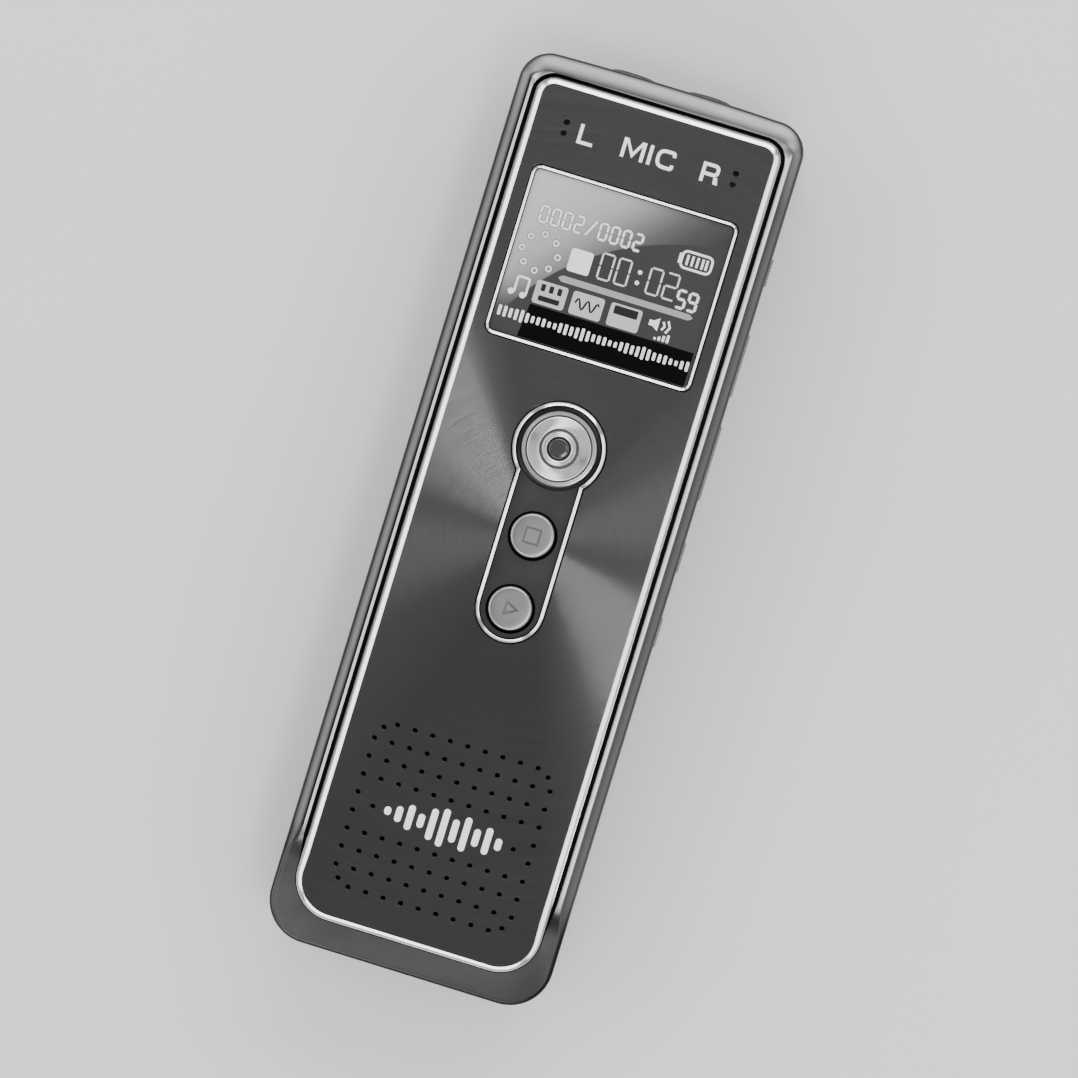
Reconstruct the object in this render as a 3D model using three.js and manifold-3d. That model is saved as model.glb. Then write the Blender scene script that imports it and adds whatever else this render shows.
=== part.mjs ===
// Handheld voice recorder, lying on its back.
// Millimetres. +X to the right of the face, +Y towards the microphone and socket end, +Z out of the face.
// The origin is the centre of the flat back.
import * as THREE from 'three';
import { mergeVertices } from 'three/addons/utils/BufferGeometryUtils.js';
import Module from 'manifold-3d';

const wasm = await Module();
wasm.setup();

// ---------------------------------------------------------------- driving dimensions

const GAP = 0.3;                 // clearance between neighbouring pieces
const BODY = { halfWidth: 15.6, bottom: -49, top: 49, bottomRadius: 4.7, topRadius: 3.2, crown: 0.3 };
const WALL = 1.6;                // side wall of the body band
const COVER_HEIGHT = 1.9;        // back cover, which is also its edge rounding
const COVER_FLOOR = 1.0;
const FRAME_BASE = COVER_HEIGHT + GAP;
const RIM = { height: 10.9, roundWidth: 1.1, roundHeight: 1.2, lipHeight: 10.45 };
const CHIN = { height: 10.5, innerHeight: 10.65, roundWidth: 0.5, roundHeight: 0.6, start: -37, end: -41 };
const TOP_EDGE = { roundWidth: 1.7, innerHeight: 10.85, start: 45.6, end: 47.4 };
const DECK = { under: 9.0, top: 9.9 };

const PANEL = { halfWidth: 13.45, bottom: -45.8, top: 46.45, bottomRadius: 4.5, topRadius: 2.1 };
const PANEL_Z = { under: DECK.top + GAP, edge: 10.7, top: 11.2 };
const PANEL_BEVEL = 0.74;
const GROOVE = { side: 0.42, top: 0.45, bottom: 0.35 };

const DISPLAY = { y: 27.85, halfWidth: 11.4, halfHeight: 9.33, radius: 1.05, line: 0.46 };
const DISPLAY_Z = { base: PANEL_Z.under + 0.1, windowTop: 11.1, bezelTop: 11.35 };

const RECORD_Y = 9.05;
const STOP_Y = -0.5;
const PLAY_Y = -8.53;
const TRIM = { ringRadius: 5.05, neckHalfWidth: 3.75, line: 0.55, top: 11.45 };
const PLATE_TOP = 10.95;
const RECORD = { radius: 4.1, faceRadius: 3.4, hubRadius: 1.73, insertRadius: 1.15, top: 11.65 };
const CAP = { radius: 2.375, top: 11.55, flangeRadius: 2.95 };
const RECORD_FLANGE_RADIUS = 4.8;
const PRESS_TRAVEL = 0.25;       // front and side buttons alike

const GRILLE = { y: -32.77, columns: 11, rows: 10, pitchX: 1.94, pitchY: 1.994, holeRadius: 0.26 };
const MIC = { x: 9.3, y: 41.55, holePitch: 1.2, holeRadius: 0.3, capsuleRadius: 2.0 };

const BOARD = { bottom: 4.6, top: 5.6, halfWidth: 12.9 };
const ON_BOARD = BOARD.top + GAP;
const UNDER_BOARD = BOARD.bottom - GAP;
const MAT = { under: 7.7, top: 8.3 };
const BUTTON_UNDER = MAT.top + GAP + PRESS_TRAVEL;
const FLANGE_TOP = DECK.top;

const SIDE = { z: 7.0, halfHeight: 1.2, proud: 0.18, flangeInner: 13.25, flangeOuter: 13.7 };
const SIDE_SWITCH = { inner: 11.3, outer: 12.7 };
const SIDE_BUTTONS = [[19.6, 26.5], [8.1, 16.4], [0.1, 3.5], [-8.2, -4.9]];
const SLIDE = { y: 33.35, halfLength: 1.475, travel: 1.5, stemHalfLength: 0.8, stemHalfHeight: 0.6 };
const SLIDE_RECESS = { from: 27.3, to: 39.2, halfHeight: 1.5, floor: 14.9 };

const JACK = { x: 4.2, z: 5.9, collarRadius: 2.5, boreRadius: 1.8, front: 49.37, bodyFront: 46.9, back: 37.5 };
const JACK_HALF_BODY = 2.5;
const USB = { z: 7.2, halfWidth: 3.75, halfHeight: 1.3, wall: 0.3, front: -48.85, back: -43.3 };

const SPEAKER = { y: -32.8, radius: 10, bottom: ON_BOARD, top: 8.4 };
const SPEAKER_OPENING_HALF = 10.4;
const LCD = { halfWidth: 11.0, from: 18.4, to: 37.2, bottom: 6.6, top: DECK.under - GAP };
const BATTERY = { halfWidth: 9.7, halfLength: 20, bottom: COVER_FLOOR + GAP, top: UNDER_BOARD };
const BOSS_RADIUS = 1.6;
const SCREW = { radius: 0.7, headRadius: 1.3, holeRadius: 1.0 };
const COVER_SCREWS = [[11.6, 44.8], [-11.6, 44.8], [-11.6, -44.6], [11.6, -44.6]];
const BOARD_SCREWS = [[-11.2, 14.8], [11.2, -16], [-11.2, -16]];

// ---------------------------------------------------------------- shape helpers

const CORNER_STEPS = 6;
const CROWN_STEPS = 6;
const SIDE_STATIONS = [-40.8, -39.6, -38.4, -37.2, -36];
const ROUND_STEPS = 24;

// Closed outline of a rounded rectangle, anticlockwise, whose top edge bows out by the crown.
// Every outline has the same number of points in the same order, so that outlines can be lofted.
function outline(size, inset = 0) {
  const halfWidth = size.halfWidth - inset;
  const top = size.top - inset;
  const bottom = size.bottom + inset;
  const topRadius = size.topRadius - inset;
  const bottomRadius = size.bottomRadius - inset;
  const points = [];
  const corner = (x, y, radius, quarter) => {
    for (let step = 0; step <= CORNER_STEPS; step += 1) {
      const angle = (quarter + step / CORNER_STEPS) * Math.PI / 2;
      points.push([x + radius * Math.cos(angle), y + radius * Math.sin(angle)]);
    }
  };
  corner(halfWidth - topRadius, top - topRadius, topRadius, 0);
  for (let step = 1; step < CROWN_STEPS; step += 1) {
    points.push([(halfWidth - topRadius) * (1 - 2 * step / CROWN_STEPS), top]);
  }
  corner(topRadius - halfWidth, top - topRadius, topRadius, 1);
  [...SIDE_STATIONS].reverse().forEach((y) => points.push([-halfWidth, y]));
  corner(bottomRadius - halfWidth, bottom + bottomRadius, bottomRadius, 2);
  corner(halfWidth - bottomRadius, bottom + bottomRadius, bottomRadius, 3);
  SIDE_STATIONS.forEach((y) => points.push([halfWidth, y]));
  const bow = (x, y) => (y > 0 ? (size.crown ?? 0) * (x / size.halfWidth) ** 2 : 0);
  return points.map(([x, y]) => [x, y - bow(x, y)]);
}

// One ring of a loft: the outline at a height that may depend on y.
function ring(points, height) {
  return points.map(([x, y]) => [x, y, typeof height === 'function' ? height(y) : height]);
}

// Closed solid through rings of equal point count, capped at the first and the last.
function loft(rings) {
  const count = rings[0].length;
  const contour = (points) => points.map(([x, y]) => new THREE.Vector2(x, y));
  const index = [];
  rings.slice(1).forEach((_, level) => {
    for (let i = 0; i < count; i += 1) {
      const next = (i + 1) % count;
      const low = level * count;
      const high = low + count;
      index.push(low + i, low + next, high + next, low + i, high + next, high + i);
    }
  });
  const last = (rings.length - 1) * count;
  for (const [a, b, c] of THREE.ShapeUtils.triangulateShape(contour(rings[0]), [])) {
    index.push(c, b, a);
  }
  for (const [a, b, c] of THREE.ShapeUtils.triangulateShape(contour(rings.at(-1)), [])) {
    index.push(last + a, last + b, last + c);
  }
  const geometry = new THREE.BufferGeometry();
  geometry.setAttribute('position', new THREE.Float32BufferAttribute(rings.flat(2), 3));
  geometry.setIndex(index);
  return geometry;
}

function block(low, high) {
  const size = high.map((value, axis) => value - low[axis]);
  return new THREE.BoxGeometry(...size).translate(...high.map((value, axis) => (value + low[axis]) / 2));
}

function disc(x, y, radius, bottom, top, steps = ROUND_STEPS) {
  return new THREE.CylinderGeometry(radius, radius, top - bottom, steps)
    .rotateX(Math.PI / 2)
    .translate(x, y, (top + bottom) / 2);
}

// Turned piece about a vertical axis at (x, y), from [radius, z] points that run from top to bottom.
function turned(x, y, profile, steps = ROUND_STEPS) {
  const points = profile.map(([radius, z]) => new THREE.Vector2(radius, z)).reverse();
  return new THREE.LatheGeometry(points, steps).rotateX(Math.PI / 2).translate(x, y, 0);
}

function extruded(shape, bottom, top, curveSegments = 8) {
  return new THREE.ExtrudeGeometry(shape, { depth: top - bottom, bevelEnabled: false, curveSegments })
    .translate(0, 0, bottom);
}

function roundedRectangle(centreY, halfWidth, halfHeight, radius, centreX = 0) {
  const right = centreX + halfWidth - radius;
  const left = centreX - halfWidth + radius;
  const top = centreY + halfHeight - radius;
  const bottom = centreY - halfHeight + radius;
  return new THREE.Shape()
    .absarc(right, top, radius, 0, Math.PI / 2)
    .absarc(left, top, radius, Math.PI / 2, Math.PI)
    .absarc(left, bottom, radius, Math.PI, Math.PI * 1.5)
    .absarc(right, bottom, radius, Math.PI * 1.5, Math.PI * 2);
}

// Keyhole: a ring round the record button that runs into a neck ending in a half circle at the play button.
function keyhole(ringRadius, neckHalfWidth) {
  const tuck = Math.asin(neckHalfWidth / ringRadius);
  return new THREE.Shape()
    .absarc(0, RECORD_Y, ringRadius, tuck - Math.PI / 2, Math.PI * 1.5 - tuck)
    .absarc(0, PLAY_Y, neckHalfWidth, Math.PI, Math.PI * 2);
}

function circle(x, y, radius) {
  return new THREE.Shape().absarc(x, y, radius, 0, Math.PI * 2);
}

function withHoles(shape, holes) {
  shape.holes.push(...holes);
  return shape;
}

// ---------------------------------------------------------------- joining and cutting

function toSolid(geometry) {
  const bare = geometry.clone();
  bare.deleteAttribute('normal');
  bare.deleteAttribute('uv');
  const merged = mergeVertices(bare, 1e-4);
  return new wasm.Manifold(new wasm.Mesh({
    numProp: 3,
    vertProperties: new Float32Array(merged.attributes.position.array),
    triVerts: new Uint32Array(merged.index.array),
  }));
}

function toGeometry(solid) {
  const { vertProperties, triVerts } = solid.getMesh();
  const geometry = new THREE.BufferGeometry();
  geometry.setAttribute('position', new THREE.BufferAttribute(vertProperties, 3));
  geometry.setIndex(new THREE.BufferAttribute(triVerts, 1));
  return geometry;
}

function combine(base, { add = [], cut = [] }) {
  const joined = add.reduce((solid, piece) => solid.add(toSolid(piece)), toSolid(base));
  return toGeometry(cut.reduce((solid, piece) => solid.subtract(toSolid(piece)), joined));
}

// ---------------------------------------------------------------- body frame and back cover

// The band's edge changes from the sides' to the chin's at one end, and to the top edge's at the other.
const chinShare = (y) => 1 - THREE.MathUtils.smoothstep(y, CHIN.end, CHIN.start);
const topShare = (y) => THREE.MathUtils.smoothstep(y, TOP_EDGE.start, TOP_EDGE.end);

function alongEdge(y, side, chin, top = side) {
  return side + (chin - side) * chinShare(y) + (top - side) * topShare(y);
}

const rimHeight = (y) => alongEdge(y, RIM.height, CHIN.height);
const lipHeight = (y) => alongEdge(y, RIM.lipHeight, CHIN.innerHeight, TOP_EDGE.innerHeight);

const RECESS = {
  halfWidth: PANEL.halfWidth + GROOVE.side,
  bottom: PANEL.bottom - GROOVE.bottom,
  top: PANEL.top + GROOVE.top,
  bottomRadius: PANEL.bottomRadius + GROOVE.bottom,
  topRadius: PANEL.topRadius + GROOVE.side,
};

// One ring of the band's outer rounding, from its foot at angle 0 to its crest at a quarter turn.
function roundedRing(angle) {
  const inwards = 1 - Math.cos(angle);
  const side = outline(BODY, RIM.roundWidth * inwards);
  const chin = outline(BODY, CHIN.roundWidth * inwards);
  const top = outline(BODY, TOP_EDGE.roundWidth * inwards);
  return side.map(([x, y], i) => {
    const drop = alongEdge(y, RIM.roundHeight, CHIN.roundHeight) * (1 - Math.sin(angle));
    return [
      alongEdge(y, x, chin[i][0], top[i][0]),
      alongEdge(y, y, chin[i][1], top[i][1]),
      rimHeight(y) - drop,
    ];
  });
}

function frameShell() {
  const rings = [
    ring(outline(BODY, WALL), DECK.under),
    ring(outline(BODY, WALL), FRAME_BASE),
    ring(outline(BODY), FRAME_BASE),
  ];
  for (const degrees of [0, 25, 50, 70, 90]) {
    rings.push(roundedRing(THREE.MathUtils.degToRad(degrees)));
  }
  rings.push(ring(outline(RECESS), lipHeight));
  rings.push(ring(outline(RECESS), DECK.top));
  return loft(rings);
}

function sideSlot([from, to]) {
  const low = [SIDE.flangeOuter, from - GAP, SIDE.z - SIDE.halfHeight - GAP];
  return block(low, [BODY.halfWidth + 1, to + GAP, SIDE.z + SIDE.halfHeight + GAP]);
}

function bodyFrame() {
  const coverBosses = COVER_SCREWS.map(([x, y]) => disc(x, y, BOSS_RADIUS, COVER_FLOOR + GAP, DECK.top, 16));
  const boardBosses = BOARD_SCREWS.map(([x, y]) => disc(x, y, BOSS_RADIUS, ON_BOARD, DECK.top, 16));
  const pilotHoles = [
    ...COVER_SCREWS.map(([x, y]) => disc(x, y, SCREW.holeRadius, 0, 7.2, 12)),
    ...BOARD_SCREWS.map(([x, y]) => disc(x, y, SCREW.holeRadius, 0, 8.4, 12)),
  ];
  const deckOpenings = [
    extruded(roundedRectangle(DISPLAY.y, 11.2, 9.1, 1), DECK.under - 1, DECK.top + 1, 3),
    extruded(keyhole(RECORD_FLANGE_RADIUS + 0.4, CAP.flangeRadius + 0.45), DECK.under - 1, DECK.top + 1),
    extruded(
      roundedRectangle(SPEAKER.y, SPEAKER_OPENING_HALF, SPEAKER_OPENING_HALF, 3),
      DECK.under - 1,
      DECK.top + 1,
      4,
    ),
    ...[-1, 1].map((side) => disc(side * MIC.x, MIC.y, 1.1, DECK.under - 1, DECK.top + 1, 12)),
  ];
  const socketHoles = [-1, 1].map((side) => new THREE.CylinderGeometry(
    JACK.collarRadius + GAP,
    JACK.collarRadius + GAP,
    6,
    ROUND_STEPS,
  ).translate(side * JACK.x, BODY.top, JACK.z));
  const usbHole = block(
    [-USB.halfWidth - GAP, BODY.bottom - 1, USB.z - USB.halfHeight - GAP],
    [USB.halfWidth + GAP, BODY.bottom + WALL + 1, USB.z + USB.halfHeight + GAP],
  );
  const slideRecess = block(
    [SLIDE_RECESS.floor, SLIDE_RECESS.from, SIDE.z - SLIDE_RECESS.halfHeight],
    [BODY.halfWidth + 1, SLIDE_RECESS.to, SIDE.z + SLIDE_RECESS.halfHeight],
  );
  const slotHalfLength = SLIDE.stemHalfLength + SLIDE.travel + GAP;
  const slotHalfHeight = SLIDE.stemHalfHeight + GAP;
  const slideSlot = block(
    [SIDE.flangeOuter, SLIDE.y - slotHalfLength, SIDE.z - slotHalfHeight],
    [BODY.halfWidth + 1, SLIDE.y + slotHalfLength, SIDE.z + slotHalfHeight],
  );
  return combine(frameShell(), {
    add: [...coverBosses, ...boardBosses],
    cut: [
      ...pilotHoles,
      ...deckOpenings,
      ...socketHoles,
      usbHole,
      slideRecess,
      slideSlot,
      ...SIDE_BUTTONS.map(sideSlot),
    ],
  });
}

function backCover() {
  const rings = [90, 65, 40, 20, 0].map((degrees) => {
    const angle = THREE.MathUtils.degToRad(degrees);
    return ring(
      outline(BODY, COVER_HEIGHT * (1 - Math.cos(angle))),
      COVER_HEIGHT * (1 - Math.sin(angle)),
    );
  });
  rings.push(ring(outline(BODY, WALL), COVER_HEIGHT));
  rings.push(ring(outline(BODY, WALL), COVER_FLOOR));
  const screwHoles = COVER_SCREWS.map(([x, y]) => turned(
    x,
    y,
    [[0, 1.5], [1.05, 1.5], [1.05, 0.95], [1.65, 0.1], [1.65, -0.5], [0, -0.5]],
    16,
  ));
  return combine(loft(rings), { cut: screwHoles });
}

// Countersunk screw, head down, through the back cover into a boss of the frame.
function coverScrew([x, y]) {
  return turned(x, y, [
    [0, 6.6], [SCREW.radius, 6.4], [SCREW.radius, 0.9], [SCREW.headRadius, 0.3], [SCREW.headRadius, 0.15], [0, 0.15],
  ], 12);
}

// Pan-head screw, head down, through the board into a boss of the frame.
function boardScrew([x, y]) {
  return turned(x, y, [
    [0, 8.1], [SCREW.radius, 7.9], [SCREW.radius, UNDER_BOARD], [1.2, UNDER_BOARD], [1.2, 3.7], [0, 3.7],
  ], 12);
}

// ---------------------------------------------------------------- front plate and display

// Rows and columns of grille holes. The two middle rows keep only their outer columns, with one hole
// midway between them at the next columns in, and the four corner holes sit further in.
function grilleHoles() {
  const lastColumn = GRILLE.columns - 1;
  const lastRow = GRILLE.rows - 1;
  const cornerShift = 0.63;
  const holes = [];
  for (let row = 0; row <= lastRow; row += 1) {
    const middleRow = row === 4 || row === 5;
    for (let column = 0; column <= lastColumn; column += 1) {
      const outerColumn = column === 0 || column === lastColumn;
      const corner = outerColumn && (row === 0 || row === lastRow);
      const x = (column - lastColumn / 2) * GRILLE.pitchX;
      const y = (lastRow / 2 - row) * GRILLE.pitchY;
      const shift = corner ? cornerShift : 0;
      if (!middleRow || outerColumn) {
        holes.push([x - Math.sign(x) * shift, GRILLE.y + y - Math.sign(y) * shift]);
      }
    }
  }
  const nextColumn = (lastColumn / 2 - 1) * GRILLE.pitchX;
  holes.push([-nextColumn, GRILLE.y], [nextColumn, GRILLE.y]);
  return holes;
}

function microphoneHoles() {
  return [-1, 1].flatMap((side) => [-0.5, 0.5].map((step) => [side * MIC.x, MIC.y + step * MIC.holePitch]));
}

function frontPanel() {
  const plate = loft([
    ring(outline(PANEL), PANEL_Z.under),
    ring(outline(PANEL), PANEL_Z.edge),
    ring(outline(PANEL, PANEL_BEVEL), PANEL_Z.top),
  ]);
  const low = PANEL_Z.under - 1;
  const high = PANEL_Z.top + 1;
  const displayOpening = roundedRectangle(
    DISPLAY.y,
    DISPLAY.halfWidth + GAP,
    DISPLAY.halfHeight + GAP,
    DISPLAY.radius + GAP,
  );
  return combine(plate, {
    cut: [
      extruded(displayOpening, low, high, 4),
      extruded(keyhole(TRIM.ringRadius + GAP, TRIM.neckHalfWidth + GAP), low, high),
      ...grilleHoles().map(([x, y]) => disc(x, y, GRILLE.holeRadius, low, high, 6)),
      ...microphoneHoles().map(([x, y]) => disc(x, y, MIC.holeRadius, low, high, 8)),
    ],
  });
}

function displayBezel() {
  const { y, halfWidth, halfHeight, radius, line } = DISPLAY;
  const inner = roundedRectangle(y, halfWidth - line, halfHeight - line, radius - line);
  const shape = withHoles(roundedRectangle(y, halfWidth, halfHeight, radius), [inner]);
  return extruded(shape, DISPLAY_Z.base, DISPLAY_Z.bezelTop, 4);
}

function displayWindow() {
  const inset = DISPLAY.line + GAP;
  const shape = roundedRectangle(DISPLAY.y, DISPLAY.halfWidth - inset, DISPLAY.halfHeight - inset, 0.3);
  return extruded(shape, DISPLAY_Z.base, DISPLAY_Z.windowTop, 3);
}

function displayGasket() {
  const inner = roundedRectangle(DISPLAY.y, 9.9, 7.8, 0.5);
  return extruded(withHoles(roundedRectangle(DISPLAY.y, 10.8, 8.7, 0.8), [inner]), DECK.under, 10.0, 3);
}

// ---------------------------------------------------------------- front buttons

function keypadTrim() {
  const inner = keyhole(TRIM.ringRadius - TRIM.line, TRIM.neckHalfWidth - TRIM.line);
  const outer = withHoles(keyhole(TRIM.ringRadius, TRIM.neckHalfWidth), [inner]);
  return extruded(outer, DISPLAY_Z.base, TRIM.top, 10);
}

// Plate in the neck of the keyhole, hollowed at its top end round the record button.
function keypadPlate() {
  const halfWidth = TRIM.neckHalfWidth - TRIM.line - GAP;
  const hollow = RECORD.radius + 0.35;
  const tuck = Math.asin(halfWidth / hollow);
  const shape = new THREE.Shape()
    .absarc(0, RECORD_Y, hollow, tuck - Math.PI / 2, -tuck - Math.PI / 2, true)
    .absarc(0, PLAY_Y, halfWidth, Math.PI, Math.PI * 2);
  const holes = [STOP_Y, PLAY_Y].map((y) => circle(0, y, CAP.radius + 0.27));
  return extruded(withHoles(shape, holes), DISPLAY_Z.base, PLATE_TOP, 10);
}

function recordButton() {
  return turned(0, RECORD_Y, [
    [0, 10.6],
    [RECORD.insertRadius + GAP, 10.6],
    [RECORD.insertRadius + GAP, RECORD.top],
    [RECORD.hubRadius, RECORD.top - 0.05],
    [RECORD.hubRadius + 0.15, RECORD.top - 0.2],
    [RECORD.faceRadius, RECORD.top - 0.05],
    [RECORD.faceRadius + 0.2, RECORD.top - 0.3],
    [RECORD.radius - 0.2, RECORD.top - 0.35],
    [RECORD.radius, RECORD.top - 0.6],
    [RECORD.radius, FLANGE_TOP],
    [RECORD_FLANGE_RADIUS, FLANGE_TOP],
    [RECORD_FLANGE_RADIUS, BUTTON_UNDER],
    [0, BUTTON_UNDER],
  ], 32);
}

function recordInsert() {
  return turned(0, RECORD_Y, [
    [0, RECORD.top - 0.1],
    [RECORD.insertRadius - 0.2, RECORD.top - 0.15],
    [RECORD.insertRadius, RECORD.top - 0.35],
    [RECORD.insertRadius, 10.9],
    [0, 10.9],
  ], 16);
}

function capButton(y) {
  return turned(0, y, [
    [0, CAP.top],
    [CAP.radius - 0.7, CAP.top - 0.03],
    [CAP.radius - 0.2, CAP.top - 0.12],
    [CAP.radius, CAP.top - 0.35],
    [CAP.radius, FLANGE_TOP],
    [CAP.flangeRadius, FLANGE_TOP],
    [CAP.flangeRadius, BUTTON_UNDER],
    [0, BUTTON_UNDER],
  ], 20);
}

function keypadMat() {
  return extruded(roundedRectangle(0.75, 5.4, 13.75, 2), MAT.under, MAT.top, 4);
}

// Low square switch with a round plunger, on the board under the mat.
function tactSwitch(y) {
  const base = block([-2.2, y - 2.2, ON_BOARD], [2.2, y + 2.2, 7.1]);
  return combine(base, { add: [disc(0, y, 1.1, 7, MAT.under - GAP, 12)] });
}

// ---------------------------------------------------------------- side controls

// Bar with rounded ends in the YZ plane, between two x values.
function sideBar(from, to, inner, outer, halfHeight, radius) {
  const shape = roundedRectangle((from + to) / 2, halfHeight, (to - from) / 2, radius);
  return new THREE.ExtrudeGeometry(shape, { depth: outer - inner, bevelEnabled: false, curveSegments: 3 })
    .rotateY(Math.PI / 2)
    .translate(inner, 0, SIDE.z);
}

function sideButton([from, to]) {
  const outer = BODY.halfWidth + SIDE.proud;
  const flange = sideBar(from - 0.5, to + 0.5, SIDE.flangeInner, SIDE.flangeOuter, 1.7, 0.4);
  return combine(sideBar(from, to, SIDE.flangeInner, outer, SIDE.halfHeight, 0.6), { add: [flange] });
}

function sideSwitch([from, to]) {
  const middle = (from + to) / 2;
  const halfLength = 1.5;
  return block(
    [SIDE_SWITCH.inner, middle - halfLength, ON_BOARD],
    [SIDE_SWITCH.outer, middle + halfLength, SIDE.z + 1.1],
  );
}

function slideKnob() {
  const from = SLIDE.y - SLIDE.halfLength;
  const to = SLIDE.y + SLIDE.halfLength;
  const capInner = SLIDE_RECESS.floor + GAP;
  const cap = sideBar(from, to, capInner, BODY.halfWidth + SIDE.proud + 0.02, SIDE.halfHeight, 0.5);
  const stem = block(
    [SIDE.flangeInner, SLIDE.y - SLIDE.stemHalfLength, SIDE.z - SLIDE.stemHalfHeight],
    [capInner + 0.1, SLIDE.y + SLIDE.stemHalfLength, SIDE.z + SLIDE.stemHalfHeight],
  );
  const keeper = block(
    [SIDE.flangeInner, SLIDE.y - 1.1, SIDE.z - 1.3],
    [SIDE.flangeOuter, SLIDE.y + 1.1, SIDE.z + 1.3],
  );
  return combine(cap, { add: [stem, keeper] });
}

function slideSwitch() {
  return block([SIDE_SWITCH.inner, SLIDE.y - 3.4, ON_BOARD], [SIDE.flangeInner - GAP, SLIDE.y + 3.4, 8.2]);
}

// ---------------------------------------------------------------- sockets

function jack(side) {
  const x = side * JACK.x;
  const body = block(
    [x - JACK_HALF_BODY, JACK.back, JACK.z - JACK_HALF_BODY],
    [x + JACK_HALF_BODY, JACK.bodyFront, JACK.z + JACK_HALF_BODY],
  );
  const edge = 0.5;
  const collarProfile = [
    [0, JACK.bodyFront - 0.5],
    [JACK.collarRadius, JACK.bodyFront - 0.5],
    [JACK.collarRadius, JACK.front - edge],
    [JACK.collarRadius - edge * 0.3, JACK.front - edge * 0.3],
    [JACK.collarRadius - edge, JACK.front],
    [0, JACK.front],
  ].map(([radius, y]) => new THREE.Vector2(radius, y));
  const collar = new THREE.LatheGeometry(collarProfile, ROUND_STEPS).translate(x, 0, JACK.z);
  const bore = new THREE.CylinderGeometry(JACK.boreRadius, JACK.boreRadius, 30, 16)
    .translate(x, 43, JACK.z);
  return combine(body, { add: [collar], cut: [bore] });
}

function usbSocket() {
  const shell = block(
    [-USB.halfWidth, USB.front, USB.z - USB.halfHeight],
    [USB.halfWidth, USB.back, USB.z + USB.halfHeight],
  );
  const mouth = block(
    [-USB.halfWidth + USB.wall, USB.front - 1, USB.z - USB.halfHeight + USB.wall],
    [USB.halfWidth - USB.wall, USB.back - USB.wall, USB.z + USB.halfHeight - USB.wall],
  );
  return combine(shell, { cut: [mouth] });
}

function usbTongue() {
  return block([-1.9, USB.front + 0.8, USB.z + 0.1], [1.9, USB.back - USB.wall - GAP, USB.z + 0.65]);
}

// ---------------------------------------------------------------- board and what it carries

function mainBoard() {
  const wide = BOARD.halfWidth;
  const shape = new THREE.Shape([
    [-9.6, -47], [9.6, -47], [9.6, -42.6], [wide, -42.6], [wide, 42.8], [7.0, 42.8], [7.0, 37.2],
    [-7.0, 37.2], [-7.0, 42.8], [-wide, 42.8], [-wide, -42.6], [-9.6, -42.6],
  ].map(([x, y]) => new THREE.Vector2(x, y)));
  shape.holes.push(...BOARD_SCREWS.map(([x, y]) => circle(x, y, SCREW.holeRadius)));
  return extruded(shape, BOARD.bottom, BOARD.top, 3);
}

function speaker() {
  const { radius, bottom, top } = SPEAKER;
  return turned(0, SPEAKER.y, [
    [0, top - 0.7],
    [3.2, top - 0.5],
    [6.4, top - 0.15],
    [7.6, top - 0.5],
    [8.8, top],
    [radius, top],
    [radius, top - 0.8],
    [9.2, top - 1.2],
    [6.2, bottom + 0.9],
    [6.0, bottom],
    [0, bottom],
  ], 28);
}

function speakerGasket() {
  const shape = withHoles(circle(0, SPEAKER.y, SPEAKER.radius), [circle(0, SPEAKER.y, 8.9)]);
  return extruded(shape, 8.7, 9.3, 14);
}

function speakerMesh() {
  const half = SPEAKER_OPENING_HALF - GAP;
  return extruded(roundedRectangle(SPEAKER.y, half, half, 2.7), 9.6, DECK.top, 4);
}

function microphoneGasket(side) {
  const x = side * MIC.x;
  const shape = withHoles(circle(x, MIC.y, MIC.capsuleRadius), [circle(x, MIC.y, 1.1)]);
  return extruded(shape, 7.7, DECK.under - GAP, 8);
}

function battery() {
  const shape = roundedRectangle(0, BATTERY.halfWidth, BATTERY.halfLength, 1.2);
  return extruded(shape, BATTERY.bottom, BATTERY.top, 3);
}

// Insulated wire from the battery's end to its connector under the board.
function batteryLead(fromX, toX) {
  const route = new THREE.CatmullRomCurve3([
    new THREE.Vector3(fromX, BATTERY.halfLength + GAP, 3.4),
    new THREE.Vector3(fromX, BATTERY.halfLength + 2.4, 3.5),
    new THREE.Vector3(toX, BATTERY.halfLength + 5.0, 3.65),
    new THREE.Vector3(toX, BATTERY.halfLength + 7.2, 3.65),
  ]);
  return new THREE.ExtrudeGeometry(circle(0, 0, 0.4), { steps: 8, curveSegments: 4, extrudePath: route });
}

// ---------------------------------------------------------------- materials

const finish = (color, roughness, metalness) => ({ color, roughness, metalness });
const SATIN_METAL = finish(0x8c8c8e, 0.42, 0.9);
const SPUN_METAL = finish(0x57575a, 0.35, 1);
const CHROME = finish(0xdedee0, 0.12, 1);
const POLISHED = finish(0xc6c6c8, 0.22, 1);
const SATIN_CAP = finish(0xb0b0b2, 0.35, 0.9);
const COVER_PLASTIC = finish(0x3a3a3c, 0.6, 0);
const BLACK_PLASTIC = finish(0x141416, 0.45, 0);
const GLASS = finish(0x8a8e92, 0.08, 0);
const FOAM = finish(0x1d1d1f, 0.95, 0);
const SILICONE = finish(0x4a4c50, 0.7, 0);
const STEEL = finish(0x9a9ca0, 0.35, 1);
const BOARD_GREEN = finish(0x1f5a36, 0.5, 0);
const CHIP = finish(0x18181a, 0.55, 0);
const FOIL = finish(0xb9bcc0, 0.4, 0.6);
const AMBER = finish(0xb5722a, 0.5, 0);
const CREAM = finish(0xe6e0cc, 0.5, 0);
const RED = finish(0xa81c1c, 0.5, 0);

// ---------------------------------------------------------------- assembly

const recorder = new THREE.Group();

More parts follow.
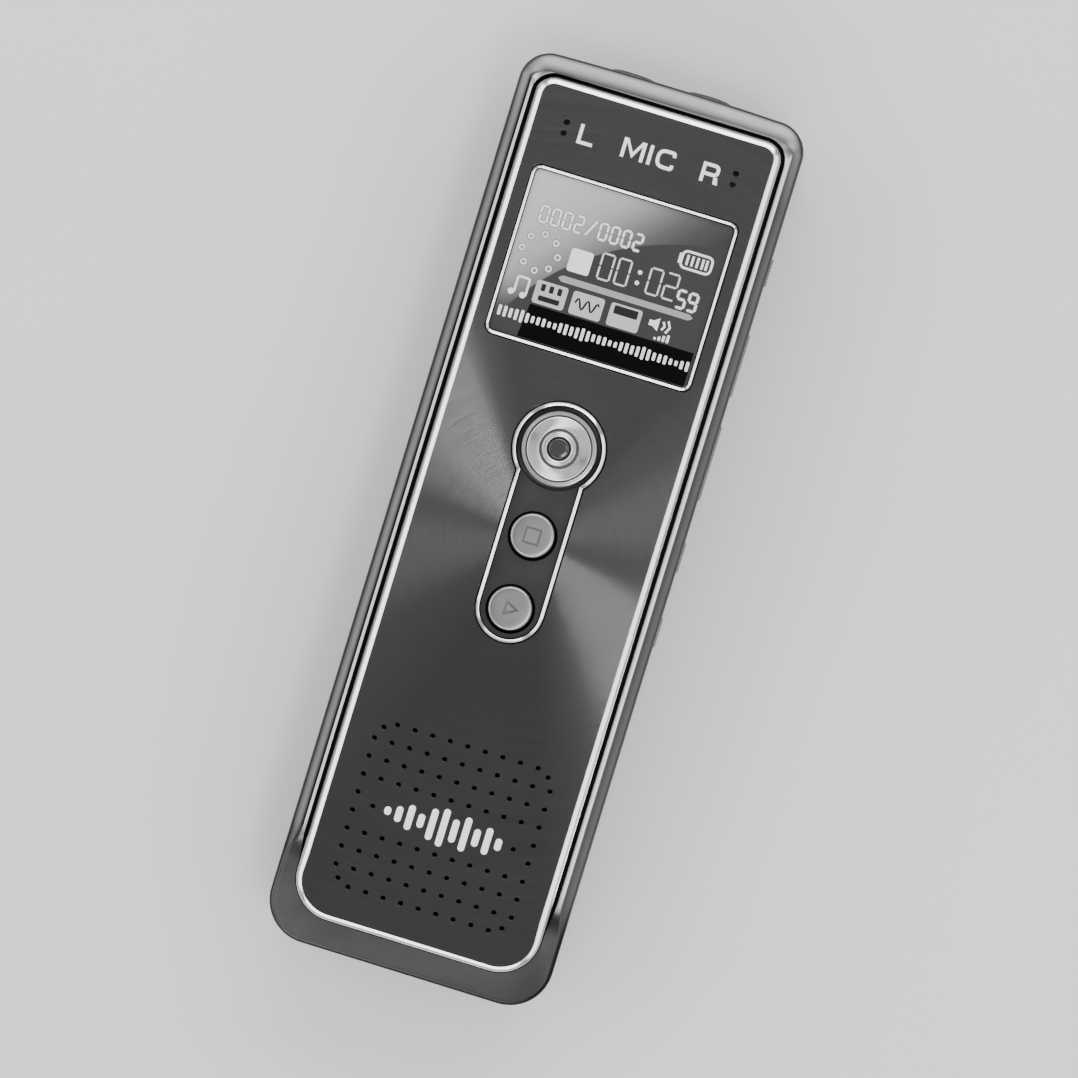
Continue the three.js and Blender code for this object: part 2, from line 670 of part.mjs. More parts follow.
function place(name, geometry, look) {
  const mesh = new THREE.Mesh(geometry, new THREE.MeshStandardMaterial(look));
  mesh.name = name;
  recorder.add(mesh);
}

place('body_frame', bodyFrame(), SATIN_METAL);
place('back_cover', backCover(), COVER_PLASTIC);
COVER_SCREWS.forEach((at, i) => place(`back_screw_${i + 1}`, coverScrew(at), STEEL));

place('front_panel', frontPanel(), SPUN_METAL);
place('display_bezel', displayBezel(), CHROME);
place('display_window', displayWindow(), GLASS);
place('display_gasket', displayGasket(), FOAM);
place(
  'display_module',
  block([-LCD.halfWidth, LCD.from, LCD.bottom], [LCD.halfWidth, LCD.to, LCD.top]),
  CREAM,
);
place('display_flex', block([-5, 18.8, ON_BOARD], [5, 25, LCD.bottom - GAP]), AMBER);

place('keypad_trim', keypadTrim(), CHROME);
place('keypad_plate', keypadPlate(), BLACK_PLASTIC);
place('record_button', recordButton(), POLISHED);
place('record_button_insert', recordInsert(), BLACK_PLASTIC);
place('stop_button', capButton(STOP_Y), SATIN_CAP);
place('play_button', capButton(PLAY_Y), SATIN_CAP);
place('keypad_mat', keypadMat(), SILICONE);
place('record_switch', tactSwitch(RECORD_Y), STEEL);
place('stop_switch', tactSwitch(STOP_Y), STEEL);
place('play_switch', tactSwitch(PLAY_Y), STEEL);

place('slide_knob', slideKnob(), BLACK_PLASTIC);
place('slide_switch', slideSwitch(), STEEL);
SIDE_BUTTONS.forEach((span, i) => place(`side_button_${i + 1}`, sideButton(span), SATIN_CAP));
SIDE_BUTTONS.forEach((span, i) => place(`side_switch_${i + 1}`, sideSwitch(span), STEEL));

place('microphone_jack', jack(-1), BLACK_PLASTIC);
place('headphone_jack', jack(1), BLACK_PLASTIC);
place('usb_socket', usbSocket(), STEEL);
place('usb_tongue', usbTongue(), BLACK_PLASTIC);

place('main_board', mainBoard(), BOARD_GREEN);
BOARD_SCREWS.forEach((at, i) => place(`board_screw_${i + 1}`, boardScrew(at), STEEL));
place('processor', block([-0.5, 28.5, 3.3], [6.5, 35.5, UNDER_BOARD]), CHIP);
place('flash_memory', block([-6, -41.2, 3.3], [6, -22.8, UNDER_BOARD]), CHIP);
place('clock_crystal', block([-5.2, 33, 3.5], [-2, 35.5, UNDER_BOARD]), STEEL);
place('battery', battery(), FOIL);
place('battery_connector', block([-8.4, 27.5, 2.9], [-3.6, 31.5, UNDER_BOARD]), CREAM);
place('battery_lead_red', batteryLead(-4.2, -5.2), RED);
place('battery_lead_black', batteryLead(-7.8, -6.8), BLACK_PLASTIC);
place('speaker', speaker(), STEEL);
place('speaker_gasket', speakerGasket(), FOAM);
place('speaker_mesh', speakerMesh(), FOAM);
for (const [name, side] of [['left', -1], ['right', 1]]) {
  place(`microphone_${name}`, disc(side * MIC.x, MIC.y, MIC.capsuleRadius, ON_BOARD, 7.4, 16), FOIL);
  place(`microphone_gasket_${name}`, microphoneGasket(side), SILICONE);
}

export default recorder;
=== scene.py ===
"""Looks of a handheld voice recorder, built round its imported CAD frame.

Shapes are worked out in millimetres in the row frame and written to Blender in metres:
+X to the right of the face, +Y towards the microphone end, +Z out of the face.
"""
import math

import bmesh
import bpy
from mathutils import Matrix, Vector


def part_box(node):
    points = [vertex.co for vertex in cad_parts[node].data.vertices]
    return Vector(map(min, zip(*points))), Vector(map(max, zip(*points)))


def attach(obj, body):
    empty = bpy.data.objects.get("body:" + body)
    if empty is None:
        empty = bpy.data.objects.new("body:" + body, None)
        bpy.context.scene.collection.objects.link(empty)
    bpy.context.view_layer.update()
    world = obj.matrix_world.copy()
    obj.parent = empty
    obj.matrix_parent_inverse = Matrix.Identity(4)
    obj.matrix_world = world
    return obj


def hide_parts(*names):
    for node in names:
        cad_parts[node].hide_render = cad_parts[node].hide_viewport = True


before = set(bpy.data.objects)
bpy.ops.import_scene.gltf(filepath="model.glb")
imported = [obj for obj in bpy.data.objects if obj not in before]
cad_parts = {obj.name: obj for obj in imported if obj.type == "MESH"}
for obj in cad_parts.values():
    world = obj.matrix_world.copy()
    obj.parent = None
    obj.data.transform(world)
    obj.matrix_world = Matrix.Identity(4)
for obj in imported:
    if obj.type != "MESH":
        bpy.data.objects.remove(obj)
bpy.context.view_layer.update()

MM = 0.001


def box_mm(node):
    """Lowest and highest corner of a CAD node, in millimetres."""
    low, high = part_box(node)
    return low / MM, high / MM


def centre_mm(node):
    return [(low + high) / 2 for low, high in zip(*box_mm(node))]


# ---- Places and sizes, from the frame

cover_low, cover_high = box_mm("back_cover")
panel_low, panel_high = box_mm("front_panel")
bezel_low, bezel_high = box_mm("display_bezel")
window_low, window_high = box_mm("display_window")
trim_high = box_mm("keypad_trim")[1]
plate_low, plate_high = box_mm("keypad_plate")
record_low, record_high = box_mm("record_button")
socket_low, socket_high = box_mm("usb_socket")

BODY = {"half_width": cover_high.x, "bottom": cover_low.y, "top": cover_high.y,
        "bottom_radius": 4.7, "top_radius": 3.2, "crown": 0.3}
PANEL = {"half_width": panel_high.x, "bottom": panel_low.y, "top": panel_high.y,
         "bottom_radius": 4.5, "top_radius": 2.1}
WALL = 1.6
DECK_UNDER = 9.0
DECK_TOP = 9.9
PARTING = cover_high.z + 0.12     # the frame's lower edge, a hair above the cover's
COVER_FLOOR = 1.0                 # how thick the cover is
CHIN_START, CHIN_END = -37.0, -41.0
TOP_START, TOP_END = 45.6, 47.4
# The band's edge along the sides, on the chin and along the top edge: the groove's width, heights, and each
# rounding as (inset from the outline, drop from the crest) from its foot to the crest.
GROOVES = (0.47, 0.12, 0.33)
CREST = (10.9, 10.5, 10.9)
INNER_HEIGHT = (10.64, 10.66, 10.85)
ROUNDINGS = (
    ((0, 1.2), (0.02, 0.95), (0.06, 0.75), (0.13, 0.57), (0.22, 0.45), (0.34, 0.375), (0.56, 0.255),
     (0.78, 0.14), (0.93, 0.075), (1.04, 0.035), (1.12, 0.01), (1.18, 0)),
    ((0, 0.6), (0.01, 0.5), (0.03, 0.41), (0.06, 0.33), (0.1, 0.25), (0.15, 0.185), (0.22, 0.12),
     (0.29, 0.07), (0.35, 0.04), (0.41, 0.018), (0.46, 0.005), (0.5, 0)),
    ((0, 1.2), (0.03, 1.02), (0.09, 0.88), (0.19, 0.76), (0.35, 0.65), (0.6, 0.505), (0.85, 0.375),
     (1.1, 0.26), (1.35, 0.16), (1.6, 0.08), (1.8, 0.03), (1.95, 0)),
)
WALL_TOP = 9.0                    # the sides are plain up to here
HAIRLINE = 0.06                   # a fitted seam between two pieces

DISPLAY_Y, RECORD_Y, STOP_Y, PLAY_Y = (
    centre_mm(node)[1] for node in ("display_bezel", "record_button", "stop_button", "play_button"))
GRILLE_Y = centre_mm("speaker_mesh")[1] + 0.03     # a hair above the middle of the cloth under it
RECORD_RADIUS, CAP_RADIUS = 4.1, 2.375
RECORD_FLANGE, CAP_FLANGE = 4.8, 2.95
RECORD_GAP, CAP_GAP = 0.3, 0.22   # round the keys, in the plate they come through
CAP_HOLE_OFFSET = (0.025, -0.06)  # the caps' holes sit low, so that their lower gap is the wider, and with its black walls it shows as a painted shadow below each cap
NECK_HALF = 3.75
TRIM_LINE, BEZEL_LINE = 0.55, 0.46
MIC_X, MIC_Y, MIC_PITCH = 9.3, 41.55, 1.2
SIDE_Z = centre_mm("slide_knob")[2]
BUTTON_HALF_HEIGHT = 1.2
BUTTON_END = 0.5                  # how far a side button's hidden flange passes its cap
SCREWS = [f"back_screw_{i}" for i in range(1, 5)]
SIDE_BUTTONS = [f"side_button_{i}" for i in range(1, 5)]
JACKS = ["microphone_jack", "headphone_jack"]


# ---- Shader building

class Surface:
    """A Principled material with short calls for the nodes that feed it."""

    def __init__(self, name, **constants):
        self.material = bpy.data.materials.new(name)
        self.material.use_nodes = True
        self.nodes = self.material.node_tree.nodes
        self.links = self.material.node_tree.links
        self.shader = self.nodes["Principled BSDF"]
        for socket, value in constants.items():
            self.shader.inputs[socket.replace("_", " ")].default_value = value
        self.point = self.node("ShaderNodeTexCoord").outputs["Object"]

    def node(self, kind, inputs=None, **properties):
        made = self.nodes.new(kind)
        for name, value in properties.items():
            setattr(made, name, value)
        for key, value in (inputs or {}).items():
            if isinstance(value, bpy.types.NodeSocket):
                self.links.new(value, made.inputs[key])
            else:
                made.inputs[key].default_value = value
        return made

    def math(self, operation, a, b=0.0):
        return self.node("ShaderNodeMath", {0: a, 1: b}, operation=operation).outputs[0]

    def vector(self, operation, a, b=(0.0, 0.0, 0.0), output="Vector"):
        return self.node("ShaderNodeVectorMath", {0: a, 1: b}, operation=operation).outputs[output]

    def vector_of(self, x, y, z):
        return self.node("ShaderNodeCombineXYZ", {0: x, 1: y, 2: z}).outputs[0]

    def noise(self, per_mm, detail=2.0):
        """Soft noise from 0 to 1 with about per_mm blobs to the millimetre."""
        inputs = {"Vector": self.point, "Scale": per_mm / MM, "Detail": detail}
        return self.node("ShaderNodeTexNoise", inputs).outputs["Fac"]

    def blend(self, a, share_a, b, share_b):
        return self.math("ADD", self.math("MULTIPLY", a, share_a), self.math("MULTIPLY", b, share_b))

    def span(self, value, low, high, start=0.0, end=1.0, smooth=False):
        """value moved from start..end to low..high."""
        kind = "SMOOTHSTEP" if smooth else "LINEAR"
        inputs = {0: value, 1: start, 2: end, 3: low, 4: high}
        return self.node("ShaderNodeMapRange", inputs, interpolation_type=kind).outputs[0]

    def ramp(self, value, stops):
        made = self.node("ShaderNodeValToRGB", {0: value})
        elements = made.color_ramp.elements
        while len(elements) < len(stops):
            elements.new(0.5)
        for element, (position, level) in zip(elements, stops):
            element.position = position
            element.color = (level, level, level, 1)
        return made.outputs[0]

    def mix(self, amount, a, b):
        return self.node("ShaderNodeMix", {0: amount, 6: a, 7: b}, data_type="RGBA").outputs[2]

    def set(self, socket, value):
        self.links.new(value, self.shader.inputs[socket])

    def rough(self, noise, low, high):
        self.set("Roughness", self.span(noise, low, high, 0.3, 0.7))

    def finished(self, colour, height=None, depth_mm=0.0):
        """The material, once it has its colour and its relief."""
        self.set("Base Color", colour)
        if height is not None:
            bump = self.node("ShaderNodeBump", {"Height": height, "Distance": depth_mm * MM})
            self.set("Normal", bump.outputs[0])
        return self.material


def grey(value, tint=0.0):
    """A near neutral colour, slightly cool for a positive tint."""
    return (value * (1 - tint), value, value * (1 + tint), 1)


def shades(colour, vary):
    """The colour a little darker and a little lighter."""
    return [tuple(min(1, part * share) for part in colour[:3]) + (1,) for share in (1 - vary, 1 + vary)]


def moulded(name, colour, roughness=0.5, grain=4.0, depth=0.01, vary=0.12, **constants):
    """A plain moulded, cast or painted surface: uneven colour, uneven gloss and a fine grain."""
    s = Surface(name, **constants)
    fine = s.noise(grain)
    s.rough(s.noise(0.3, 4), roughness * 0.85, roughness * 1.15)
    return s.finished(s.mix(s.blend(s.noise(0.12, 3), 0.7, fine, 0.3), *shades(colour, vary)), fine, depth)


def turned_metal(name, colour, roughness, centre, rings_per_mm, depth, anisotropy, swirl=0.0, painted_spokes=()):
    """Metal with circular tool marks round centre, which spread its shine into spokes. A swirl, in degrees,
    turns the marks into spirals. Painted spokes are stops of (degrees round the centre, tone) of painted
    highlight and painted shade in the colour."""
    s = Surface(name, Metallic=1.0, Anisotropic=anisotropy)
    offset = s.vector("SUBTRACT", s.point, (centre[0] * MM, centre[1] * MM, 0))
    x, y = s.node("ShaderNodeSeparateXYZ", {0: offset}).outputs[:2]
    flat = s.vector_of(x, y, 0.0)
    across = s.node("ShaderNodeVectorRotate", {"Vector": flat, "Angle": math.radians(swirl)},
                    rotation_type="Z_AXIS").outputs[0]
    s.set("Tangent", s.vector("NORMALIZE", across))
    # Tool marks: quick change along the radius and slow change round the turn.
    radius = s.math("DIVIDE", s.vector("LENGTH", flat, output="Value"), MM)
    turn = s.math("ARCTAN2", y, x)
    round_x, round_y = (s.math("MULTIPLY", s.math(side, turn), 2.2) for side in ("COSINE", "SINE"))
    marks_at = s.vector_of(round_x, round_y, s.math("MULTIPLY", radius, rings_per_mm))
    marks = s.node("ShaderNodeTexNoise", {"Vector": marks_at, "Scale": 1.0, "Detail": 3.0}).outputs["Fac"]
    tone_and_painted_light = s.mix(s.blend(marks, 0.6, s.noise(0.05), 0.4), *shades(colour, 0.12))
    # Painted highlight and shade: the colour is lightened and darkened by the angle round the centre.
    if painted_spokes:
        share = s.math("FRACT", s.math("DIVIDE", turn, math.tau))
        painted_spoke = s.ramp(share, [(degrees / 360, factor / 2) for degrees, factor in painted_spokes])
        tone_and_painted_light = s.vector("MULTIPLY", tone_and_painted_light, s.vector("MULTIPLY", painted_spoke, (2.0, 2.0, 2.0)))
    s.rough(marks, roughness * 0.9, roughness * 1.1)
    return s.finished(tone_and_painted_light, marks, depth)


# ---- Materials

def satin_frame_material():
    """Fine blasted aluminium band whose inner lip is cut bright. The lip attribute says how much of the cut
    there is, and the tone attribute holds painted shade and painted highlight, which darken and lighten the
    blasted colour."""
    s = Surface("satin_frame", Metallic=1.0)
    lip, tone_and_painted_light = (s.node("ShaderNodeAttribute", attribute_name=name).outputs["Fac"]
                 for name in ("lip", "tone_and_painted_light"))
    blasted = s.mix(s.noise(0.06, 3), grey(0.155), grey(0.175))
    blasted_with_painted_light = s.vector("MULTIPLY", blasted, s.vector_of(tone_and_painted_light, tone_and_painted_light, tone_and_painted_light))
    rough = s.span(s.noise(0.4, 4), 0.34, 0.40, 0.3, 0.7)
    polished = s.span(s.noise(0.8), 0.2, 0.24, 0.3, 0.7)
    s.set("Roughness", s.node("ShaderNodeMix", {0: lip, 2: rough, 3: polished}).outputs[0])
    return s.finished(s.mix(lip, blasted_with_painted_light, grey(0.46)), s.noise(9.0), 0.002)


def cut_bevel_material():
    """The plate's diamond-cut bevel: mirror bright with faint feed marks."""
    s = Surface("cut_bevel", Metallic=1.0)
    marks = s.noise(6.0)
    s.rough(marks, 0.14, 0.22)
    return s.finished(s.mix(marks, grey(0.88), grey(0.95)), marks, 0.001)


def display_material():
    """The display's picture ground: a painted glare, a pale reflection from the upper left that ends on a
    curved edge, over a dark grey field, under a clear hard coat."""
    s = Surface("display_ground_and_painted_glare", Coat_Weight=0.5, Coat_Roughness=0.05, Specular_IOR_Level=0.2)
    glare_centre, glare_radius, softness = (12.3, DISPLAY_Y - 19.65), 25.9, 0.08
    top = window_high.y + 0.2
    in_mm = s.node("ShaderNodeVectorMath", {0: s.point, "Scale": 1 / MM}, operation="SCALE").outputs[0]
    x, y = s.node("ShaderNodeSeparateXYZ", {0: in_mm}).outputs[:2]
    squares = [s.math("POWER", s.math("SUBTRACT", *pair), 2.0) for pair in zip((x, y), glare_centre)]
    away = s.math("SQRT", s.math("ADD", *squares))
    outside = s.span(away, 0, 1, glare_radius - softness, glare_radius + softness, smooth=True)
    diagonal = s.math("ADD", x, s.math("SUBTRACT", top, y))
    fall = s.ramp(s.span(diagonal, 0, 1, -8.0, 12.0), [
        (0.0, 1.0), (0.25, 0.86), (0.4, 0.70), (0.52, 0.46), (0.62, 0.26), (0.72, 0.13), (0.84, 0.05),
        (1.0, 0.0),
    ])
    low_fade = s.span(y, 0, 1, DISPLAY_Y - 8.0, DISPLAY_Y - 2.4, smooth=True)
    # Painted reflection: the glare's share of the pale colour.
    pale = s.math("MULTIPLY", s.math("MULTIPLY", outside, fall), low_fade)
    mottle = s.span(s.noise(1.2, 3), 0.97, 1.03)
    s.rough(s.noise(0.4, 3), 0.28, 0.36)
    return s.finished(s.vector("MULTIPLY", s.mix(pale, grey(0.036), grey(0.47)), mottle))


def cloth_material():
    """Woven dust cloth: two crossed sets of fine threads."""
    s = Surface("dust_cloth", Roughness=0.9, Sheen_Weight=0.3)
    threads = [s.node("ShaderNodeTexWave", {"Vector": s.point, "Scale": 3.0 / MM}, bands_direction=axis)
               for axis in ("X", "Y")]
    weave = s.math("MAXIMUM", *(wave.outputs["Fac"] for wave in threads))
    return s.finished(s.mix(weave, grey(0.004), grey(0.02)), weave, 0.05)


def board_material():
    """Green solder mask over copper tracks."""
    s = Surface("solder_mask", Roughness=0.35, Coat_Weight=0.3, Coat_Roughness=0.2)
    cells = s.node("ShaderNodeTexBrick", {
        "Vector": s.point, "Scale": 0.35 / MM, "Mortar Size": 0.03, "Color1": (0.01, 0.10, 0.035, 1),
        "Color2": (0.012, 0.12, 0.045, 1), "Mortar": (0.03, 0.22, 0.09, 1),
    })
    return s.finished(cells.outputs["Color"], cells.outputs["Fac"], 0.03)


def ink(name, value, roughness=0.45, shine=0.3):
    """Screen-printed ink with a slightly uneven tone."""
    return moulded(name, grey(value), roughness, grain=5.0, depth=0.004, vary=0.04, Specular_IOR_Level=shine)


SATIN_FRAME = satin_frame_material()
CUT_BEVEL = cut_bevel_material()
# Painted highlight and shade on the spun plate: its colour is lighter in wedges along the key light's spokes
# of shine, and darker towards the top and bottom ends.
SPUN_PAINTED_SPOKES = (
    (0, 1.05), (10, 1.25), (36, 1.35), (45, 1.4), (54, 1.1), (64, 0.8), (114, 0.8), (122, 1.1), (128, 2.0),
    (138, 1.5), (150, 1.3), (160, 0.95), (176, 0.95), (190, 1.3), (210, 1.2), (224, 1.05), (238, 0.75),
    (252, 0.6), (288, 0.6), (302, 0.85), (318, 1.0), (344, 1.1), (352, 0.85), (360, 1.05),
)
SPUN = turned_metal("spun_plate", grey(0.17, 0.01), 0.22, (0.3, -0.8), 9.0, 0.0012, 1.0, painted_spokes=SPUN_PAINTED_SPOKES)
# Painted highlight on the record button: its colour is lighter in two spokes, towards the top end and towards
# the bottom end, and darker between them.
TURNED_PAINTED_SPOKES = (
    (0, 0.72), (52, 0.74), (76, 1.08), (102, 1.08), (122, 0.8), (180, 0.72), (232, 0.74), (256, 1.08),
    (282, 1.08), (302, 0.8), (360, 0.72),
)
TURNED = turned_metal("turned_button", grey(0.92), 0.33, (0, RECORD_Y), 8.0, 0.002, 1.0, 56, TURNED_PAINTED_SPOKES)
TURNED_DARK = turned_metal("turned_step", grey(0.8), 0.30, (0, RECORD_Y), 8.0, 0.002, 0.5)
# Dark metal as painted shade in the record button's grooves, at its outer edge and flange, and in its hole.
TURNED_SHADE = moulded("turned_painted_shade", grey(0.14), 0.4, depth=0.002, Metallic=1.0)
# Black painted shade: it stands for the shade in the band's groove and in the left part of its crease, on the
# trims' low steps, on the walls of the keypad's holes and on the caps' sides in those holes.
PAINTED_SHADE_BLACK = moulded("painted_shade_black", grey(0.006), 0.7, Specular_IOR_Level=0.15)
CHROME = moulded("bright_trim", grey(0.95), 0.16, grain=1.0, depth=0.001, vary=0.04, Metallic=1.0)
SATIN_CAP = moulded("satin_cap", grey(0.37), 0.36, grain=8.0, depth=0.004, vary=0.06, Metallic=1.0)
SATIN_DARK = moulded("side_cap", grey(0.17), 0.4, grain=8.0, depth=0.004, vary=0.06, Metallic=1.0)
ENGRAVED = moulded("engraved_line", grey(0.19), 0.45, grain=6.0, depth=0.002, Metallic=1.0)
PLATE_PAINT = moulded("keypad_paint", grey(0.052), 0.42, grain=6.0, depth=0.004, Metallic=0.8)
GLOSS_BLACK = moulded("gloss_black", grey(0.03), 0.22, grain=0.8, depth=0.001, Coat_Weight=0.6)
BLACK = moulded("black_moulding", grey(0.018), 0.38, grain=5.0, depth=0.006)
COVER = moulded("cover_texture", grey(0.04), 0.55, grain=3.2, depth=0.03, vary=0.2)
STEEL = moulded("plated_steel", grey(0.52), 0.3, grain=3.0, depth=0.003, Metallic=1.0)
DISPLAY_GROUND_AND_GLARE = display_material()
WHITE_INK = ink("white_ink", 0.94)
DISPLAY_WHITE, DISPLAY_LIT, DISPLAY_PALE, DISPLAY_SHADE, DISPLAY_MID = (
    ink(f"display_{name}", value, 0.3)
    for name, value in (("white", 0.84), ("lit", 0.6), ("pale", 0.46), ("shade", 0.16), ("mid", 0.3)))
DISPLAY_DARK = ink("display_dark", 0.02, 0.3, 0.1)
DISPLAY_STRIP = ink("display_strip", 0.002, 0.3, 0.08)

# The CAD nodes that stay shown: a finish and the nodes that have it. The others are of steel.
INNER_LOOKS = (
    (moulded("foam", grey(0.02), 0.95, grain=6.0, depth=0.05), "display_gasket", "speaker_gasket"),
    (moulded("light_plastic", (0.72, 0.69, 0.6, 1), 0.45), "display_module", "battery_connector"),
    (moulded("flex_film", (0.42, 0.19, 0.05, 1), 0.3, grain=2.0), "display_flex"),
    (moulded("silicone", grey(0.08), 0.7), "keypad_mat", "microphone_gasket_left", "microphone_gasket_right"),
    (board_material(), "main_board"),
    (moulded("chip_epoxy", grey(0.02), 0.55, grain=8.0), "processor", "flash_memory"),
    (moulded("battery_foil", grey(0.6), 0.4, grain=0.8, depth=0.06, Metallic=0.7),
     "battery", "microphone_left", "microphone_right"),
    (moulded("red_insulation", (0.4, 0.02, 0.02, 1), 0.4), "battery_lead_red"),
    (cloth_material(), "speaker_mesh"),
    (BLACK, "usb_tongue", "battery_lead_black", "slide_switch"),
)


# ---- Outlines, in millimetres

CORNER_STEPS = 14
CROWN_STEPS = 12
# Y of the points on the straight sides, close together where they turn into the chin.
SIDE_STATIONS = [CHIN_END + 0.1 + 0.39 * i for i in range(18)] + [-32.5, -30, -26, -20, 0, 20, 40]


def arc(x, y, radius, start, end, steps):
    angles = [start + (end - start) * i / steps for i in range(steps + 1)]
    return [(x + radius * math.cos(angle), y + radius * math.sin(angle)) for angle in angles]


def corner(x, y, radius, quarter, steps):
    """Rounded corner of an outline. Quarters count anticlockwise from the upper right one."""
    return arc(x, y, radius, quarter * math.pi / 2, (quarter + 1) * math.pi / 2, steps)


def outline(size, inset=0.0):
    """Rounded rectangle, anticlockwise, whose top edge bows out by its crown. Every such outline has the
    same number of points in the same order, so that outlines can be joined ring to ring."""
    half = size["half_width"] - inset
    top, bottom = size["top"] - inset, size["bottom"] + inset
    top_radius, bottom_radius = size["top_radius"] - inset, size["bottom_radius"] - inset
    points = corner(half - top_radius, top - top_radius, top_radius, 0, CORNER_STEPS)
    points += [((half - top_radius) * (1 - 2 * step / CROWN_STEPS), top) for step in range(1, CROWN_STEPS)]
    points += corner(top_radius - half, top - top_radius, top_radius, 1, CORNER_STEPS)
    points += [(-half, y) for y in reversed(SIDE_STATIONS)]
    points += corner(bottom_radius - half, bottom + bottom_radius, bottom_radius, 2, CORNER_STEPS)
    points += corner(half - bottom_radius, bottom + bottom_radius, bottom_radius, 3, CORNER_STEPS)
    points += [(half, y) for y in SIDE_STATIONS]
    crown = size.get("crown", 0.0)
    return [(x, y - crown * (x / size["half_width"]) ** 2 * smooth(20, 44, y)) for x, y in points]


def smooth(start, end, value):
    t = min(1.0, max(0.0, (value - start) / (end - start)))
    return t * t * (3 - 2 * t)


def mixed(a, b, share):
    return a + (b - a) * share


def blended(a, b, share):
    """Point between two points."""
    return tuple(mixed(p, q, share) for p, q in zip(a, b))


def rounding(radius, steps):
    """A rounded edge as (inset, drop) pairs, from its foot on the side to its end on the top."""
    angles = [math.pi / 2 * step / steps for step in range(steps + 1)]
    return [(radius * (1 - math.cos(angle)), radius * (1 - math.sin(angle))) for angle in angles]


def circle(x, y, radius, steps=24):
    return arc(x, y, radius, 0, math.tau, steps)[:-1]


def rounded_rectangle(x, y, half_width, half_height, radius, steps=8):
    aside, up = half_width - radius, half_height - radius
    return (corner(x + aside, y + up, radius, 0, steps) + corner(x - aside, y + up, radius, 1, steps)
            + corner(x - aside, y - up, radius, 2, steps) + corner(x + aside, y - up, radius, 3, steps))


def keyhole(ring_radius, neck_half):
    """Ring round the record button that runs into a neck ending in a half circle at the play button."""
    tuck = math.asin(neck_half / ring_radius)
    ring = arc(0, RECORD_Y, ring_radius, tuck - math.pi / 2, math.pi * 1.5 - tuck, 72)
    neck_top = RECORD_Y - ring_radius * math.cos(tuck)
    down = [(-neck_half, mixed(neck_top, PLAY_Y, step / 6)) for step in range(1, 6)]
    up = [(neck_half, mixed(PLAY_Y, neck_top, step / 6)) for step in range(1, 6)]
    return ring + down + arc(0, PLAY_Y, neck_half, math.pi, math.tau, 36) + up


# ---- Mesh building

def skin(bm, rings, closed=False):
    """Quads from ring to ring; rings are loops of points of equal count. Returns the loops of vertices."""
    loops = [[bm.verts.new(point) for point in ring] for ring in rings]
    pairs = list(zip(loops, loops[1:]))
    if closed:
        pairs.append((loops[-1], loops[0]))
    for low, high in pairs:
        for i, vertex in enumerate(low):
            j = (i + 1) % len(low)
            bm.faces.new((vertex, low[j], high[j], high[i]))
    return loops


def fill(bm, *loops):
    """Flat face bounded by the first loop, with the others as holes in it."""
    edges = []
    for loop in loops:
        edges.extend(bm.edges.get((a, b)) for a, b in zip(loop, loop[1:] + loop[:1]))
    return bmesh.ops.triangle_fill(bm, use_beauty=True, edges=edges)["geom"]


def ring_at(points, z):
    return [(x, y, z) for x, y in points]


def stacked(outline_at, profile):
    """Rings of an outline, from points of (offset from it, z)."""
    return [ring_at(outline_at(offset), z) for offset, z in profile]


def lofted(rings):
    bm = bmesh.new()
    loops = skin(bm, rings)
    fill(bm, loops[0])
    fill(bm, loops[-1])
    return bm


def railed(outline_at, profile):
    """Closed bar along an outline: profile is a closed loop of (offset from the outline, z)."""
    bm = bmesh.new()
    skin(bm, stacked(outline_at, profile), closed=True)
    return bm


def slab(points, low, high):
    return lofted([ring_at(points, low), ring_at(points, high)])


def round_rings(x, y, profile, steps):
    return stacked(lambda radius: circle(x, y, radius, steps), profile)


def turned(x, y, profile, steps=64):
    """Solid of revolution about a vertical axis, from (radius, z) points between two ends on the axis."""
    bm = bmesh.new()
    ends = [bm.verts.new((x, y, z)) for z in (profile[0][1], profile[-1][1])]
    loops = skin(bm, round_rings(x, y, profile[1:-1], steps))
    for tip, loop in zip(ends, (loops[0], loops[-1])):
        for i, vertex in enumerate(loop):
            bm.faces.new((tip, vertex, loop[(i + 1) % steps]))
    return bm


def lowest(face):
    return min(vertex.co.z for vertex in face.verts)


def sorted_faces(bm, material_at):
    """The mesh, with the number of each face's material from a rule."""
    for face in bm.faces:
        face.material_index = int(material_at(face))
    return bm


SHARP = math.radians(32)


def new_object(name, data):
    obj = bpy.data.objects.new(name, data)
    bpy.context.scene.collection.objects.link(obj)
    return obj


def evaluated_mesh(obj):
    """What an object's modifiers or curve settings make of it, as a mesh."""
    graph = bpy.context.evaluated_depsgraph_get()
    return bpy.data.meshes.new_from_object(obj.evaluated_get(graph), depsgraph=graph)


def finish_mesh(bm, name, sharp=SHARP):
    bmesh.ops.recalc_face_normals(bm, faces=bm.faces)
    for edge in bm.edges:
        edge.smooth = not (edge.is_manifold and edge.calc_face_angle(0) > sharp)
    for face in bm.faces:
        face.smooth = True
    mesh = bpy.data.meshes.new(name)
    bm.to_mesh(mesh)
    bm.free()
    return mesh


def scaled(bm):
    bmesh.ops.scale(bm, vec=(MM, MM, MM), verts=bm.verts)
    return bm


def piece(name, bm, materials, body, replaces=(), carve=None, sharp=SHARP):
    """Makes a finished piece from a mesh in millimetres: carved, shaded, riding on its body."""
    obj = new_object(name, finish_mesh(scaled(bm), name, sharp))
    for material in materials:
        obj.data.materials.append(material)
    if carve is not None:
        cut(obj, carve, sharp)
    soften = obj.modifiers.new("even_normals", "WEIGHTED_NORMAL")
    soften.keep_sharp = True
    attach(obj, body)
    if replaces:
        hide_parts(*replaces)
    return obj


